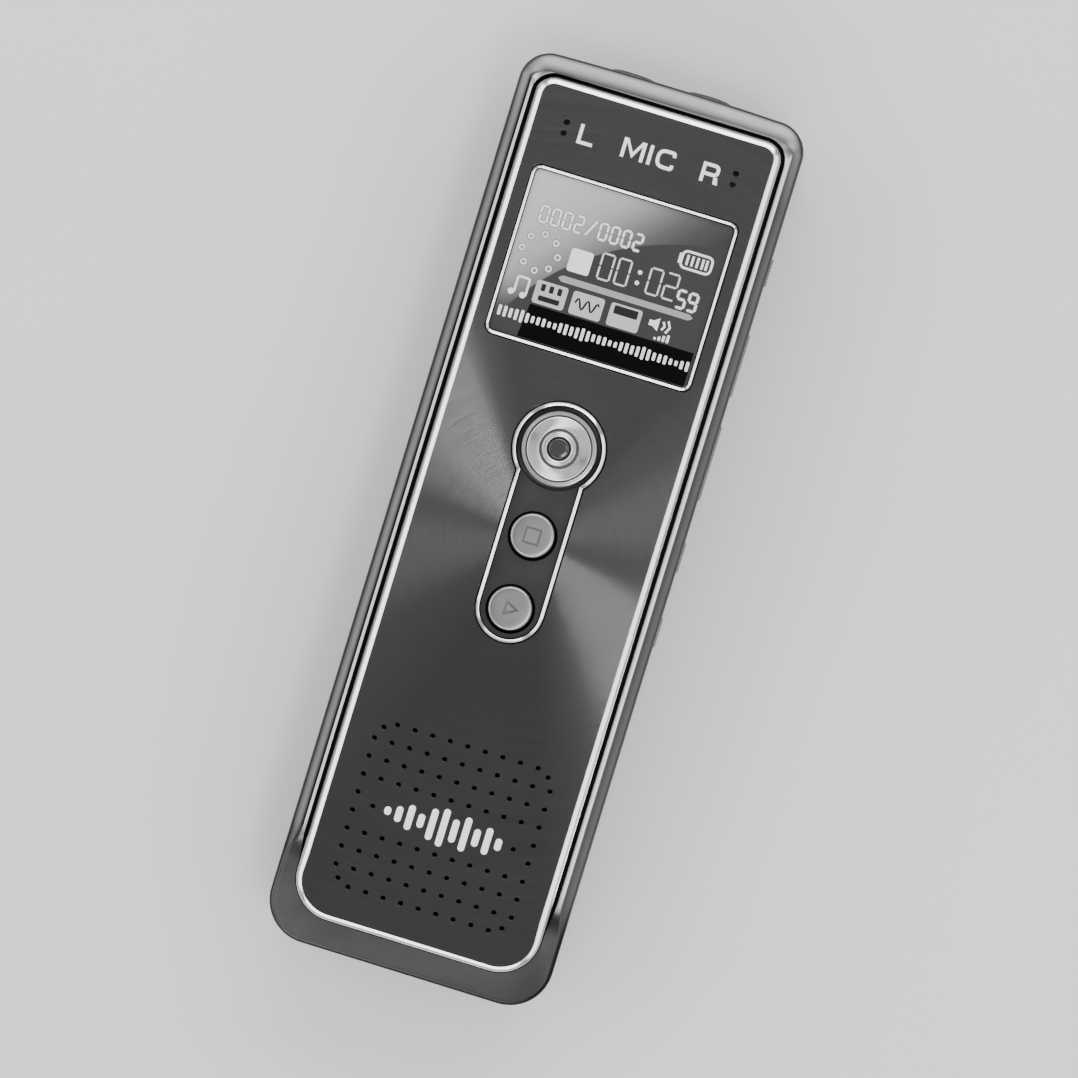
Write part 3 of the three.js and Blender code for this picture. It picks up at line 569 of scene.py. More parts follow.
def cut(obj, cutter_bm, sharp):
    """Takes a closed shape, in millimetres, out of a piece."""
    tool = new_object("cutter", finish_mesh(scaled(cutter_bm), "cutter"))
    for material in obj.data.materials:
        tool.data.materials.append(material)
    modifier = obj.modifiers.new("cut", "BOOLEAN")
    modifier.operation = "DIFFERENCE"
    modifier.solver = "EXACT"
    modifier.object = tool
    carved = evaluated_mesh(obj)
    obj.modifiers.remove(modifier)
    bpy.data.objects.remove(tool)
    bm = bmesh.new()
    bm.from_mesh(carved)
    bmesh.ops.dissolve_degenerate(bm, dist=1e-7, edges=bm.edges)
    obj.data = finish_mesh(bm, obj.name, sharp)
    for material in carved.materials:
        obj.data.materials.append(material)


def joined(*meshes):
    """One mesh that holds several, which don't overlap."""
    whole = bmesh.new()
    for bm in meshes:
        holder = bpy.data.meshes.new("part")
        bm.to_mesh(holder)
        bm.free()
        whole.from_mesh(holder)
        bpy.data.meshes.remove(holder)
    return whole


def plate(outer_rings, holes, second_from=99.0, shade_painted_holes=False):
    """Flat plate: rings of its edge from the underside up, and for each hole its rings from the top down. Its
    outer edge takes the piece's second material above the height second_from, or its holes all take it."""
    bm = bmesh.new()
    edge = skin(bm, outer_rings)
    sorted_faces(bm, lambda face: lowest(face) > second_from)
    outside = set(bm.faces)
    inner = [skin(bm, rings) for rings in holes]
    for face in bm.faces:
        if shade_painted_holes and face not in outside:
            face.material_index = 1
    fill(bm, edge[-1], *(loops[0] for loops in inner))
    fill(bm, edge[0], *(loops[-1] for loops in inner))
    return bm


def hole_rings(outline_at, top, bottom, break_edge=0.03):
    """Rings of a hole through a plate, with its upper edge broken."""
    return stacked(outline_at, ((break_edge, top), (0, top - break_edge), (0, bottom)))


def round_hole(x, y, radius, top, bottom, break_edge, steps):
    return hole_rings(lambda d: circle(x, y, radius + d, steps), top, bottom, break_edge)


# ---- Body frame

def chin_share(y):
    """1 on the chin and 0 where the sides' rim and groove are full."""
    return 1 - smooth(CHIN_END, CHIN_START, y)


def top_share(y):
    return smooth(TOP_START, TOP_END, y)


def along_edge(y, sizes):
    """A size of the band's edge at y, from its sizes along the sides, on the chin and along the top edge."""
    side, chin, top = sizes
    return side + (chin - side) * chin_share(y) + (top - side) * top_share(y)


def edge_points(size, insets):
    """An outline with one inset for the sides, one for the chin and one for the top edge. Each point comes
    after its place on the outline that has the sides' inset all round."""
    for points in zip(*(outline(size, inset) for inset in insets)):
        yield points[0], [along_edge(points[0][1], parts) for parts in zip(*points)]


def edge_ring(insets, drops):
    """Ring of the band at some insets, dropped from the crest. Both are for sides, chin and top edge."""
    return [(*place, along_edge(y, CREST) - along_edge(y, drops))
            for (_, y), place in edge_points(BODY, insets)]


CREASE_WIDTH = 0.22               # the fine crease between the satin band and the bright lip
CREASE_DEPTH = 0.07


def right_share(x):
    """0 on the left part of the band and 1 on the right part."""
    return smooth(-6, 6, x)


def lip_foot(x, y):
    """Height of the lip's inner edge: its right part is cut deeper."""
    along_sides = 1 - chin_share(y) - top_share(y)
    return along_edge(y, INNER_HEIGHT) + along_sides * mixed(0.05, -0.09, right_share(x))


def body_outline(inset):
    return outline(BODY, inset)


def frame_rings():
    """Rings of the band, from the ceiling of its inside, round its outside and down into the recess. Also the
    numbers of the rings where the crease, the lip and the groove start."""
    rings = stacked(body_outline, (
        (WALL, DECK_UNDER), (WALL, PARTING + 0.2), (0.16, PARTING), (0.05, PARTING + 0.03),
        (0, PARTING + 0.12), (0, WALL_TOP)))
    rings.extend(edge_ring(*zip(*points)) for points in zip(*ROUNDINGS))
    crest = rings[-1]
    foot = [(*place, lip_foot(x, y)) for (x, y), place in edge_points(PANEL, [-width for width in GROOVES])]
    crease_start = len(rings)
    for along, depth in ((0.2, CREASE_DEPTH), (0.8, CREASE_DEPTH), (1.0, 0.015)):
        insets = [stops[-1][0] + CREASE_WIDTH * along * share for stops, share in zip(ROUNDINGS, (1, 1, 0.5))]
        # The crease runs out towards the right, where the lip starts at the crest.
        rings.append([blended(low, blended(top, end, 0.25 * along), right_share(top[0]))
                      for top, low, end in zip(crest, edge_ring(insets, (depth, 0, 0)), foot)])
    lip_start = len(rings) - 1
    for t in (0.25, 0.5, 0.75, 0.92, 1.0):
        falls = [along_edge(y, (t, t, 1 - math.sqrt(1 - t * t))) for _, y, _ in foot]
        rings.append([(*blended(start[:2], end[:2], t), mixed(start[2], end[2], fall))
                      for start, end, fall in zip(rings[lip_start], foot, falls)])
    groove_start = len(rings) - 1
    rings.append([(x, y, DECK_TOP) for x, y, _ in foot])
    return rings, crease_start, lip_start, groove_start


def bar(stations, steps=6, along="x"):
    """Closed shape along X or Y, from stations of (place along it, from and to across it, from and to in
    height, corner radius)."""
    rings = []
    for place, low, high, z0, z1, radius in stations:
        flat = rounded_rectangle((low + high) / 2, (z0 + z1) / 2, (high - low) / 2, (z1 - z0) / 2, radius,
                                 steps)
        rings.append([(place, a, z) if along == "x" else (a, place, z) for a, z in flat])
    return lofted(rings)


def grown(box, rows):
    """Stations of a bar whose section is a box, (from, to, z from, z to): rows of (place, growth, radius)."""
    low, high, z0, z1 = box
    return [(place, low - grow, high + grow, z0 - grow, z1 + grow, radius) for place, grow, radius in rows]


def on_side(start, end, half_height):
    """Section of a side control."""
    return start, end, SIDE_Z - half_height, SIDE_Z + half_height


def laid(bm, x, z):
    """Turns a shape about the Z axis into one about the line along Y through (x, z)."""
    for vertex in bm.verts:
        vertex.co = (vertex.co.x + x, vertex.co.z, vertex.co.y + z)
    return bm


def cap_span(node):
    """The Y limits of a side button's visible cap."""
    low, high = box_mm(node)
    return low.y + BUTTON_END, high.y - BUTTON_END


def frame_openings():
    """Everything cut out of the band and its deck."""
    wall, inside = BODY["half_width"], BODY["half_width"] - WALL - 0.4
    shapes = []

    def mouth(flare, outer, inner):
        """The flared start of an opening in the right side."""
        return [(wall + 0.5, flare, outer), (wall + 0.001, flare, outer), (wall - flare, 0, inner)]

    clearance = 0.1
    for node in SIDE_BUTTONS:
        start, end = cap_span(node)
        section = on_side(start - clearance, end + clearance, BUTTON_HALF_HEIGHT + clearance)
        shapes.append(bar(grown(section, mouth(0.12, 0.75, 0.63) + [(inside, 0, 0.63)])))
    recess, floor = on_side(27.3, 39.2, 1.5), 14.9
    knob_y, slot_half = centre_mm("slide_knob")[1], 2.6
    slot = on_side(knob_y - slot_half, knob_y + slot_half, 0.8)
    shapes.append(bar(grown(recess, mouth(0.18, 1.0, 0.85) + [(floor, 0, 0.85)])
                      + grown(slot, [(floor, 0, 0.4), (inside, 0, 0.4)])))
    end, edge = BODY["top"], 0.12
    for node in JACKS:
        low, high = box_mm(node)
        radius = (high.x - low.x) / 2 + HAIRLINE
        profile = [(0, end - 4), (radius, end - 4), (radius, end - 0.14), (radius + edge, end),
                   (radius + edge, end + 2), (0, end + 2)]
        shapes.append(laid(turned(0, 0, profile, 48), centre_mm(node)[0], centre_mm(node)[2]))
    x, end, flare = socket_high.x + HAIRLINE, BODY["bottom"], 0.2
    shapes.append(bar(grown((-x, x, socket_low.z - HAIRLINE, socket_high.z + HAIRLINE), [
        (end - 2, flare, 0.75), (end - 0.001, flare, 0.75), (end + 0.22, 0, 0.6), (end + WALL + 0.4, 0, 0.6),
    ]), along="y"))
    deck_openings = (rounded_rectangle(0, DISPLAY_Y, 11.2, 9.1, 1.0), keyhole(5.2, 3.4),
                     rounded_rectangle(0, GRILLE_Y, 10.4, 10.4, 3.0), circle(MIC_X, MIC_Y, 1.1),
                     circle(-MIC_X, MIC_Y, 1.1))
    shapes += [slab(opening, DECK_UNDER - 0.6, DECK_TOP + 0.2) for opening in deck_openings]
    return joined(*shapes)


def painted_edge_light(x, y, inset):
    """How light the band is painted at a place on its edge, and at an inset from the outline: painted shade
    at the rim, to the right and on the chin, and a painted highlight along the top."""
    left = mixed(0.1, 0.78, smooth(0.05, 0.85, inset))
    right = mixed(0.15, 0.47, smooth(-0.05, 0.35, inset)) - 0.09 * smooth(0.5, 1, inset)
    chin = mixed(mixed(0.94, 0.57, smooth(-15.5, -8, x)), 0.24, smooth(8, 15, x))
    chin *= mixed(0.07, 1, smooth(0.05, 0.7, inset))
    top = mixed(0.1, 1.25, smooth(0.05, 0.6, inset))
    tone_and_painted_light = mixed(left, right, smooth(-10, 10, x))
    tone_and_painted_light = mixed(chin, tone_and_painted_light, smooth(CHIN_END, CHIN_START + 2, y))
    # The painted highlight on the left side dies away just before the chin.
    fading = smooth(CHIN_END - 0.5, CHIN_END + 1.5, y) - smooth(CHIN_START - 1, CHIN_START + 1, y)
    tone_and_painted_light *= 1 - 0.5 * fading * (1 - right_share(x))
    return mixed(tone_and_painted_light, top, smooth(44, TOP_END, y))


def lip_share(x, y):
    """How much of the bright cut there is on the lip: it runs out on the chin and at the top edge."""
    share = smooth(CHIN_START - 1.7, CHIN_START + 1.3, y) - smooth(TOP_START - 1, TOP_END - 0.6, y)
    if y < CHIN_START + 1:
        share *= 1 - smooth(14.3, 14.6, abs(x))
    return share


WALL_TONE = 0.45
LIP_INSET = 2.0                   # an inset past every rounding


def build_frame():
    """The band with its lip, groove and deck, and painted shade and highlight at each of its points."""
    rings, crease_start, lip_start, groove_start = frame_rings()
    bm = bmesh.new()
    lip, tone_and_painted_light = (bm.verts.layers.float.new(name) for name in ("lip", "tone_and_painted_light"))
    loops = skin(bm, rings)
    edge_start = crease_start - len(ROUNDINGS[0])
    for number, loop in enumerate(loops):
        for vertex in loop:
            x, y, _ = vertex.co
            if number < edge_start:
                vertex[tone_and_painted_light] = WALL_TONE
            elif number < crease_start:
                inset = along_edge(y, [stops[number - edge_start][0] for stops in ROUNDINGS])
                vertex[tone_and_painted_light] = painted_edge_light(x, y, inset)
            else:
                vertex[tone_and_painted_light] = painted_edge_light(x, y, LIP_INSET)
                vertex[lip] = lip_share(x, y) * (1 if number >= lip_start else right_share(x))
    crease, groove = ({vertex for loop in part for vertex in loop}
                      for part in (loops[crease_start:crease_start + 2], loops[groove_start:]))
    # Black painted shade in the groove and on its floor, and in the crease on the left part of the band only.
    for face in bm.faces:
        x, y, _ = face.calc_center_median()
        in_shaded_crease = crease.issuperset(face.verts) and CHIN_START < y < TOP_START and x < 0
        face.material_index = int(in_shaded_crease or groove.issuperset(face.verts))
    fill(bm, loops[0])
    for part in fill(bm, loops[-1]):
        if isinstance(part, bmesh.types.BMFace):
            part.material_index = 1
    band = piece("band", bm, [SATIN_FRAME, PAINTED_SHADE_BLACK], "body", ["body_frame"],
                 carve=frame_openings())
    # The points that the openings added have no tone yet.
    for point in band.data.attributes["tone_and_painted_light"].data:
        if point.value == 0:
            point.value = WALL_TONE


# ---- Back cover and its screws

def build_cover():
    low, seam = cover_low.z, cover_high.z + 0.02
    profile = [(inset, low + rise) for inset, rise in reversed(rounding(cover_high.z - low, 12))]
    profile += [(0.04, seam), (WALL, seam), (WALL, COVER_FLOOR)]
    countersink = (0.8, COVER_FLOOR), (0.8, 0.85), (1.38, low + 0.06), (1.42, low)
    holes = [round_rings(x, y, countersink, 40) for x, y, _ in map(centre_mm, SCREWS)]
    piece("rear_shell", plate(stacked(body_outline, profile), holes), [COVER], "body",
          ["back_cover"])


def cross_cutter(x, y, top, depth, reach):
    """Tapered cross for a screw's drive recess, opening downwards from the height top."""
    half, tip = 0.17, 0.45
    spread = [(half, half), (half, reach), (-half, reach), (-half, half), (-reach, half), (-reach, -half),
              (-half, -half), (-half, -reach), (half, -reach), (half, -half), (reach, -half), (reach, half)]
    return lofted([[(x + px * share, y + py * share, z) for px, py in spread]
                   for share, z in ((1, top - 0.1), (1, top), (tip, top + depth))])


def build_screws():
    turns, thread, core, head = 14, 0.7, 0.58, 1.3
    for i, node in enumerate(SCREWS, start=1):
        low, high = box_mm(node)
        x, y, _ = centre_mm(node)
        profile = [(0, high.z), (0.5, high.z - 0.1), (thread, high.z - 0.4)]
        for turn in range(turns):
            z = mixed(high.z - 0.5, 1.1, turn / (turns - 1))
            profile += [(thread, z), (core, z - 0.18)]
        profile += [(0.62, 0.85), (head, 0.3), (head + 0.02, 0.22), (head - 0.03, low.z), (0, low.z)]
        piece(f"rear_screw_{i}", turned(x, y, profile, 40), [STEEL], "body", [node],
              carve=cross_cutter(x, y, low.z, 0.55, 0.8))


# ---- Front plate

def grille_points():
    """Centres of the grille holes, as the plate's punch pattern has them."""
    columns, rows, pitch_x, pitch_y, corner_shift = 11, 10, 1.94, 1.994, 0.63
    last_column, last_row = columns - 1, rows - 1
    points = []
    for row in range(rows):
        for column in range(columns):
            outer = column in (0, last_column)
            if row in (4, 5) and not outer:
                continue
            x, y = (column - last_column / 2) * pitch_x, (last_row / 2 - row) * pitch_y
            shift = corner_shift if outer and row in (0, last_row) else 0
            points.append((x - math.copysign(shift, x), GRILLE_Y + y - math.copysign(shift, y)))
    next_column = (last_column / 2 - 1) * pitch_x
    return points + [(-next_column, GRILLE_Y), (next_column, GRILLE_Y)]


def bezel_outline(offset):
    return rounded_rectangle(0, DISPLAY_Y, bezel_high.x + offset, (bezel_high.y - bezel_low.y) / 2 + offset,
                             max(0.1, 1.05 + offset), 10)


def trim_outline(offset):
    return keyhole(trim_high.x + offset, NECK_HALF + offset)


BEVEL_FOOT = 10.7
BEVEL = 0.74
CHIN_BEVEL = 0.75                 # share of the bevel's width that is left on the chin


def bevel_ring(t):
    """Ring of the plate's cut bevel, from its foot at 0 to the plate's face at 1."""
    ring = []
    for wide, thin in zip(outline(PANEL, BEVEL * t), outline(PANEL, BEVEL * CHIN_BEVEL * t)):
        narrow = 1 - smooth(-44, -39, wide[1])
        drop = (panel_high.z - BEVEL_FOOT) * (1 - 1.5 * t + 0.5 * t * t) * mixed(1, CHIN_BEVEL, narrow)
        ring.append((*blended(wide, thin, narrow), panel_high.z - drop))
    return ring


def build_panel():
    under, top = panel_low.z, panel_high.z
    outer = stacked(lambda inset: outline(PANEL, inset), ((0.03, under), (0, under + 0.03)))
    outer.append([(x, y, z - 0.02) for x, y, z in bevel_ring(0)])
    outer += [bevel_ring(step / 6) for step in range(7)]
    holes = [hole_rings(lambda d, shape=shape: shape(HAIRLINE / 2 + d), top, under)
             for shape in (bezel_outline, trim_outline)]
    spots = [(x, y, 0.25) for x, y in grille_points()]
    spots += [(x, MIC_Y + up, 0.31) for x in (-MIC_X, MIC_X) for up in (-MIC_PITCH / 2, MIC_PITCH / 2)]
    holes += [round_hole(x, y, radius, top, under, 0.04, 20) for x, y, radius in spots]
    piece("face_plate", plate(outer, holes, BEVEL_FOOT - 0.03), [SPUN, CUT_BEVEL], "body",
          ["front_panel"], sharp=math.radians(14))


# ---- Printed marks

PRINT = 0.012                     # thickness of printed ink


def ribbons(lines, width, base, thickness=PRINT):
    """Flat printed strokes, slightly domed, along open or closed lines of (x, y) points."""
    curve = bpy.data.curves.new("strokes", "CURVE")
    curve.dimensions = "3D"
    curve.bevel_depth = width / 2
    curve.bevel_resolution = 1
    curve.use_fill_caps = True
    for points, closed in lines:
        spline = curve.splines.new("POLY")
        spline.points.add(len(points) - 1)
        for target, (x, y) in zip(spline.points, points):
            target.co = (x, y, 0, 1)
        spline.use_cyclic_u = closed
    holder = new_object("strokes", curve)
    bm = bmesh.new()
    bm.from_mesh(evaluated_mesh(holder))
    bpy.data.objects.remove(holder)
    bmesh.ops.remove_doubles(bm, verts=bm.verts, dist=1e-5)
    for vertex in bm.verts:
        vertex.co.z = base + vertex.co.z / (width / 2) * thickness
    return bm


def pad(points, base, thickness=PRINT):
    """Flat printed patch with the given outline."""
    return slab(points, base - 0.01, base + thickness)


def bent(points, radius, closed=False, steps=4):
    """The line through points with its corners rounded."""
    count = len(points)
    result = []
    for i, point in enumerate(points):
        if not closed and i in (0, count - 1):
            result.append(point)
            continue
        here = Vector(point)
        before = Vector(points[i - 1]) - here
        after = Vector(points[(i + 1) % count]) - here
        reach = min(radius, before.length / 2, after.length / 2)
        start = here + before.normalized() * reach
        end = here + after.normalized() * reach
        for step in range(steps + 1):
            t = step / steps
            result.append(tuple(start * (1 - t) ** 2 + here * 2 * t * (1 - t) + end * t ** 2))
    return result


def stroke(points, width, base):
    """Printed stroke of even width along an open line, with square ends and mitred corners."""
    spots = [Vector(point) for point in points]
    rings = []
    for i, spot in enumerate(spots):
        before = (spot - spots[i - 1]).normalized() if i else None
        after = (spots[i + 1] - spot).normalized() if i + 1 < len(spots) else None
        normals = [Vector((-way.y, way.x)) for way in (before or after, after or before)]
        mitre = (normals[0] + normals[1]).normalized()
        side = mitre * width / 2 / max(0.3, mitre.dot(normals[0]))
        left, right, low, high = spot - side, spot + side, base - 0.01, base + PRINT
        rings.append([(*left, low), (*right, low), (*right, high), (*left, high)])
    bm = bmesh.new()
    loops = skin(bm, rings)
    bm.faces.new(loops[0])
    bm.faces.new(loops[-1])
    return bm


LABEL_LOW, LABEL_HEIGHT, LABEL_STROKE = 40.35, 2.1, 0.37


def letters(w, h):
    """Patches and lines of the labels' letters, whose lines are w wide and which are h high, from x = 0."""
    half = w / 2
    upright = [(0, 0), (w, 0), (w, h), (0, h)]
    m, dip = 2.45, 1.25 * w
    arches = [(0, 0), (w, 0), (w, 0.8 * h), (m / 2, 0.06 * h), (m - w, 0.8 * h), (m - w, 0), (m, 0), (m, h),
              (m - dip, h), (m / 2, 0.36 * h), (dip, h), (0, h)]
    c = 2.02 - half
    open_ring = [(c, 0.7 * h), (c, h - half), (half, h - half), (half, half), (c, half), (c, 0.3 * h)]
    r, waist = 1.9, 0.44 * h
    bowl = [(w * 0.98, h - half), (r - half, h - half), (r - half, waist), (w * 0.98, waist)]
    leg = [(r - 1.35 * w, waist - half * 0.98), (r - 1.1 * w, 0), (r + 0.1, 0),
           (r - 0.25 * w, waist - half * 0.98)]
    return {
        "L": [("patch", [(0, 0), (1.7, 0), (1.7, w), (w, w), (w, h), (0, h)])],
        "M": [("patch", arches)],
        "I": [("patch", upright)],
        "C": [("line", bent(open_ring, 0.75))],
        "R": [("patch", upright), ("line", bent(bowl, 0.45)), ("patch", leg)],
    }


def build_labels():
    """Channel and microphone labels above the display."""
    shapes = []
    alphabet = letters(LABEL_STROKE, LABEL_HEIGHT)
    for letter, left in (("L", -7.75), ("M", -2.95), ("I", -0.08), ("C", 0.78), ("R", 5.75)):
        for kind, points in alphabet[letter]:
            spots = [(left + x, LABEL_LOW + y) for x, y in points]
            if kind == "patch":
                shapes.append(pad(spots, panel_high.z))
            else:
                shapes.append(stroke(spots, LABEL_STROKE, panel_high.z))
    piece("channel_labels", joined(*shapes), [WHITE_INK], "body")


def build_grille_mark():
    """A plain sound-wave mark across the middle of the grille."""
    heights = [0.9, 1.7, 2.7, 1.5, 3.4, 4.1, 2.5, 3.7, 1.9, 2.9, 1.3]
    pitch, half_width = 1.22, 0.36
    shapes = [rounded_rectangle((i - (len(heights) - 1) / 2) * pitch, GRILLE_Y, half_width, height / 2,
                                half_width - 0.01) for i, height in enumerate(heights)]
    piece("sound_wave_mark", joined(*(pad(shape, panel_high.z, 0.015) for shape in shapes)), [WHITE_INK],
          "body")


# ---- Trims and display

TRIM_LEDGE = 0.13                 # step outside a trim's bright slope, painted black as shade


def bright_trim(name, node, outline_at, line, inner_ledge, fall):
    """Bright trim whose top slopes down outwards, between two steps painted black as shade."""
    low, high = (end.z for end in box_mm(node))
    foot, step, crest = high - fall, high - fall - 0.2, inner_ledge - line
    shape = railed(outline_at, [
        (0, low), (0, step), (-TRIM_LEDGE, step), (-TRIM_LEDGE, foot - 0.02), (-TRIM_LEDGE - 0.02, foot),
        (crest, high), (crest - 0.02, high - 0.03), (crest - 0.02, step), (-line, step), (-line, low),
    ])
    # The faces below the slope's foot, the two steps among them, take the black painted shade.
    piece(name, sorted_faces(shape, lambda face: lowest(face) < foot - 0.03), [CHROME, PAINTED_SHADE_BLACK], "body",
          [node], sharp=math.radians(20))


def build_display():
    bright_trim("display_surround", "display_bezel", bezel_outline, BEZEL_LINE, 0.07, 0.17)
    low, high = window_low.z, window_high.z
    rings = stacked(lambda shrink: bezel_outline(-BEZEL_LINE - HAIRLINE / 2 - shrink),
                    ((0, low), (0, high - 0.08), (0.02, high - 0.02), (0.08, high)))
    piece("display_lens", lofted(rings), [DISPLAY_GROUND_AND_GLARE], "body", ["display_window"])


# The lit bars of each digit, as lines in a box one unit wide and two high.
BARS = {
    "top": ((0, 2), (1, 2)), "middle": ((0, 1), (1, 1)), "bottom": ((0, 0), (1, 0)),
    "upper_left": ((0, 1), (0, 2)), "upper_right": ((1, 1), (1, 2)),
    "lower_left": ((0, 0), (0, 1)), "lower_right": ((1, 0), (1, 1)),
}
DIGITS = {
    "0": ("top", "upper_left", "upper_right", "lower_left", "lower_right", "bottom"),
    "2": ("top", "upper_right", "middle", "lower_left", "bottom"),
    "5": ("top", "upper_left", "middle", "lower_right", "bottom"),
    "9": ("top", "upper_left", "upper_right", "middle", "lower_right", "bottom"),
}


def bar_between(start, end, width, gap, base, thickness):
    """Printed bar with pointed ends, which stops short of both its ends by gap."""
    a, b = Vector(start), Vector(end)
    along = (b - a).normalized()
    side = Vector((-along.y, along.x)) * width / 2
    a, b = a + along * gap, b - along * gap
    point = along * width / 2
    corners = [a - side + point, b - side - point, b, b + side - point, a + side + point, a]
    return pad([tuple(spot) for spot in corners], base, thickness)


def digits(text, x, y, width, height, step, line, gap, base, thickness=PRINT):
    """Segmented digits in a row, whose first one has its lower left corner at (x, y), with bars as wide as
    line and step from digit to digit."""
    shapes = []
    for character in text:
        if character == "/":
            shapes.append(bar_between((x, y), (x + width, y + height), line, 0, base, thickness))
        for name in DIGITS.get(character, ()):
            ends = [(x + px * width, y + py * height / 2) for px, py in BARS[name]]
            shapes.append(bar_between(*ends, line, gap, base, thickness))
        x += step
    return shapes


def counter_digits(grow, base, thickness):
    """The counter row and the seconds, with every bar wider by grow."""
    shapes = []
    for text, x, up, width, height, step in (
            ("0002", -9.1, 3.52, 0.8, 1.72, 1.27), ("/", -4.0, 3.5, 0.9, 1.78, 1.0),
            ("0002", -2.62, 3.52, 0.8, 1.72, 1.27), ("59", 7.25, -0.93, 0.86, 1.84, 1.24)):
        shapes += digits(text, x, DISPLAY_Y + up, width, height, step, 0.25 + grow, 0.015 - grow / 2, base,
                         thickness)
    return joined(*shapes)


def dial_rings():
    """Eight small rings in a circle."""
    angles = [math.tau * i / 8 for i in range(8)]
    return [(circle(-8.0 + 1.95 * math.cos(angle), DISPLAY_Y + 0.38 + 1.97 * math.sin(angle), 0.28, 16), True)
            for angle in angles]


def build_display_picture():
    """Symbols of the display, as thin layers on its ground."""
    face, over, shade = window_high.z, window_high.z + PRINT, 0.005

    def show(name, shape, ink_look):
        piece(name, shape, [ink_look], "body")

    def at(*points):
        """Points whose heights are measured from the display's middle."""
        return [(x, DISPLAY_Y + up) for x, up in points]

    def tiles(*sizes, base=face):
        """Printed tiles of (x, height, half width, half height, radius, corner steps)."""
        return [pad(rounded_rectangle(x, DISPLAY_Y + up, *size), base) for x, up, *size in sizes]

    def dots(*sizes):
        return [pad(circle(x, DISPLAY_Y + up, radius, 16), face) for x, up, radius in sizes]

    clock = [shape for text, x, step in (("00", -1.52, 1.85), ("02", 3.8, 1.8))
             for shape in digits(text, x, DISPLAY_Y - 0.44, 1.3, 2.74, step, 0.2, 0.035, face)]
    show("clock_digits", joined(*clock), DISPLAY_LIT)
    show("counter_shade", counter_digits(0.16, face, shade), DISPLAY_SHADE)
    show("counter_digits", counter_digits(0, face, PRINT), DISPLAY_WHITE)
    show("dial_shade", ribbons(dial_rings(), 0.34, face, shade), DISPLAY_SHADE)
    show("dial_rings", ribbons(dial_rings(), 0.2, face), DISPLAY_WHITE)

    battery = [(rounded_rectangle(8.1, DISPLAY_Y + 4.15, 1.62, 0.9, 0.5, 5), True)]
    battery += [(at((x, 3.6), (x, 4.7)), False) for x in (7.1, 7.65, 8.2, 8.75, 9.2)]
    show("charge_symbol", ribbons(battery, 0.26, face), DISPLAY_WHITE)

    symbols = tiles((-3.64, 0.66, 1.2, 1.24, 0.28, 5), (6.28, 4.15, 0.14, 0.55, 0.1, 3))
    symbols += dots((2.71, 1.45, 0.24), (2.71, 0.3, 0.24), (-9.75, -4.35, 0.34), (-8.45, -4.45, 0.34))
    horn = at((5.15, -3.55), (5.6, -3.55), (6.2, -3.95), (6.2, -2.55), (5.6, -2.95), (5.15, -2.95))
    symbols.append(pad(horn, face))
    symbols += tiles(*((6.2 + i * 0.45, -4.85 + height / 2, 0.14, height / 2, 0.05, 2)
                       for i, height in enumerate((0.25, 0.45, 0.65, 0.85))))
    show("display_symbols", joined(*symbols), DISPLAY_WHITE)

    note = [(bent(at((-9.42, -4.35), (-9.42, -2.62), (-8.14, -2.62), (-8.14, -4.45)), 0.2), False),
            (at((6.62, -3.7), (6.85, -3.25), (6.62, -2.8)), False),
            (at((7.1, -3.9), (7.42, -3.25), (7.1, -2.6)), False)]
    show("note_symbol", ribbons(note, 0.24, face), DISPLAY_WHITE)
    progress = at((-5.4, -1.57), (-4.95, -1.22), (9.0, -1.27), (9.45, -1.6), (9.0, -1.93), (-4.95, -1.9))
    show("progress_bar", pad(bent(progress, 0.12, True), face), DISPLAY_MID)

    show("mode_boxes", joined(*tiles(*((x, -3.6, 1.72, 1.24, 0.3, 5) for x in (-5.65, -1.62, 2.52)))),
         DISPLAY_PALE)
    marks = [(-5.65 + aside, -3.05, 0.24, 0.38, 0.08, 2) for aside in (-0.9, 0.0, 0.9)]
    marks += [(-5.65, -4.2, 1.15, 0.28, 0.1, 2), (2.52, -3.02, 1.3, 0.45, 0.1, 2)]
    show("mode_marks", joined(*tiles(*marks, base=over)), DISPLAY_DARK)
    wave = at(*((-2.9 + 0.16 * i, -3.6 + 0.55 * math.sin(i * 0.95)) for i in range(17)))
    show("mode_wave", ribbons([(wave, False)], 0.22, over), DISPLAY_DARK)

    edge = window_high.x - 0.02
    show("level_strip", pad(at((-7.75, -8.7), (edge, -8.7), (edge, -5.05), (-7.4, -5.05)), face, 0.006),
         DISPLAY_STRIP)
    levels = []
    for i in range(35):
        height = 0.95 + 0.5 * (math.sin(i * 0.55) * 0.5 + math.sin(i * 1.7 + 1) * 0.35)
        shape = rounded_rectangle(-10.3 + 0.607 * i, DISPLAY_Y - 6.6, 0.17, height / 2, 0.12, 3)
        levels.append(pad(shape, face, 0.016))
    show("level_bars", joined(*levels), DISPLAY_WHITE)


# ---- Keypad

def build_keypad():
    bright_trim("keypad_surround", "keypad_trim", trim_outline, TRIM_LINE, 0.1, 0.21)
    low, high = plate_low.z, plate_high.z
    inset = TRIM_LINE + HAIRLINE / 2
    outer = stacked(trim_outline, ((-inset, low), (-inset, high)))
    aside, down = CAP_HOLE_OFFSET
    spots = ((0, RECORD_Y, RECORD_RADIUS + RECORD_GAP), (aside, STOP_Y + down, CAP_RADIUS + CAP_GAP),
             (aside, PLAY_Y + down, CAP_RADIUS + CAP_GAP))
    holes = [round_hole(x, y, radius, high, low, 0.05, 72) for x, y, radius in spots]
    # The holes' walls take the black painted shade, so a dark gap shows round each key.
    piece("keypad_well", plate(outer, holes, shade_painted_holes=True), [PLATE_PAINT, PAINTED_SHADE_BLACK], "body",
          ["keypad_plate"])


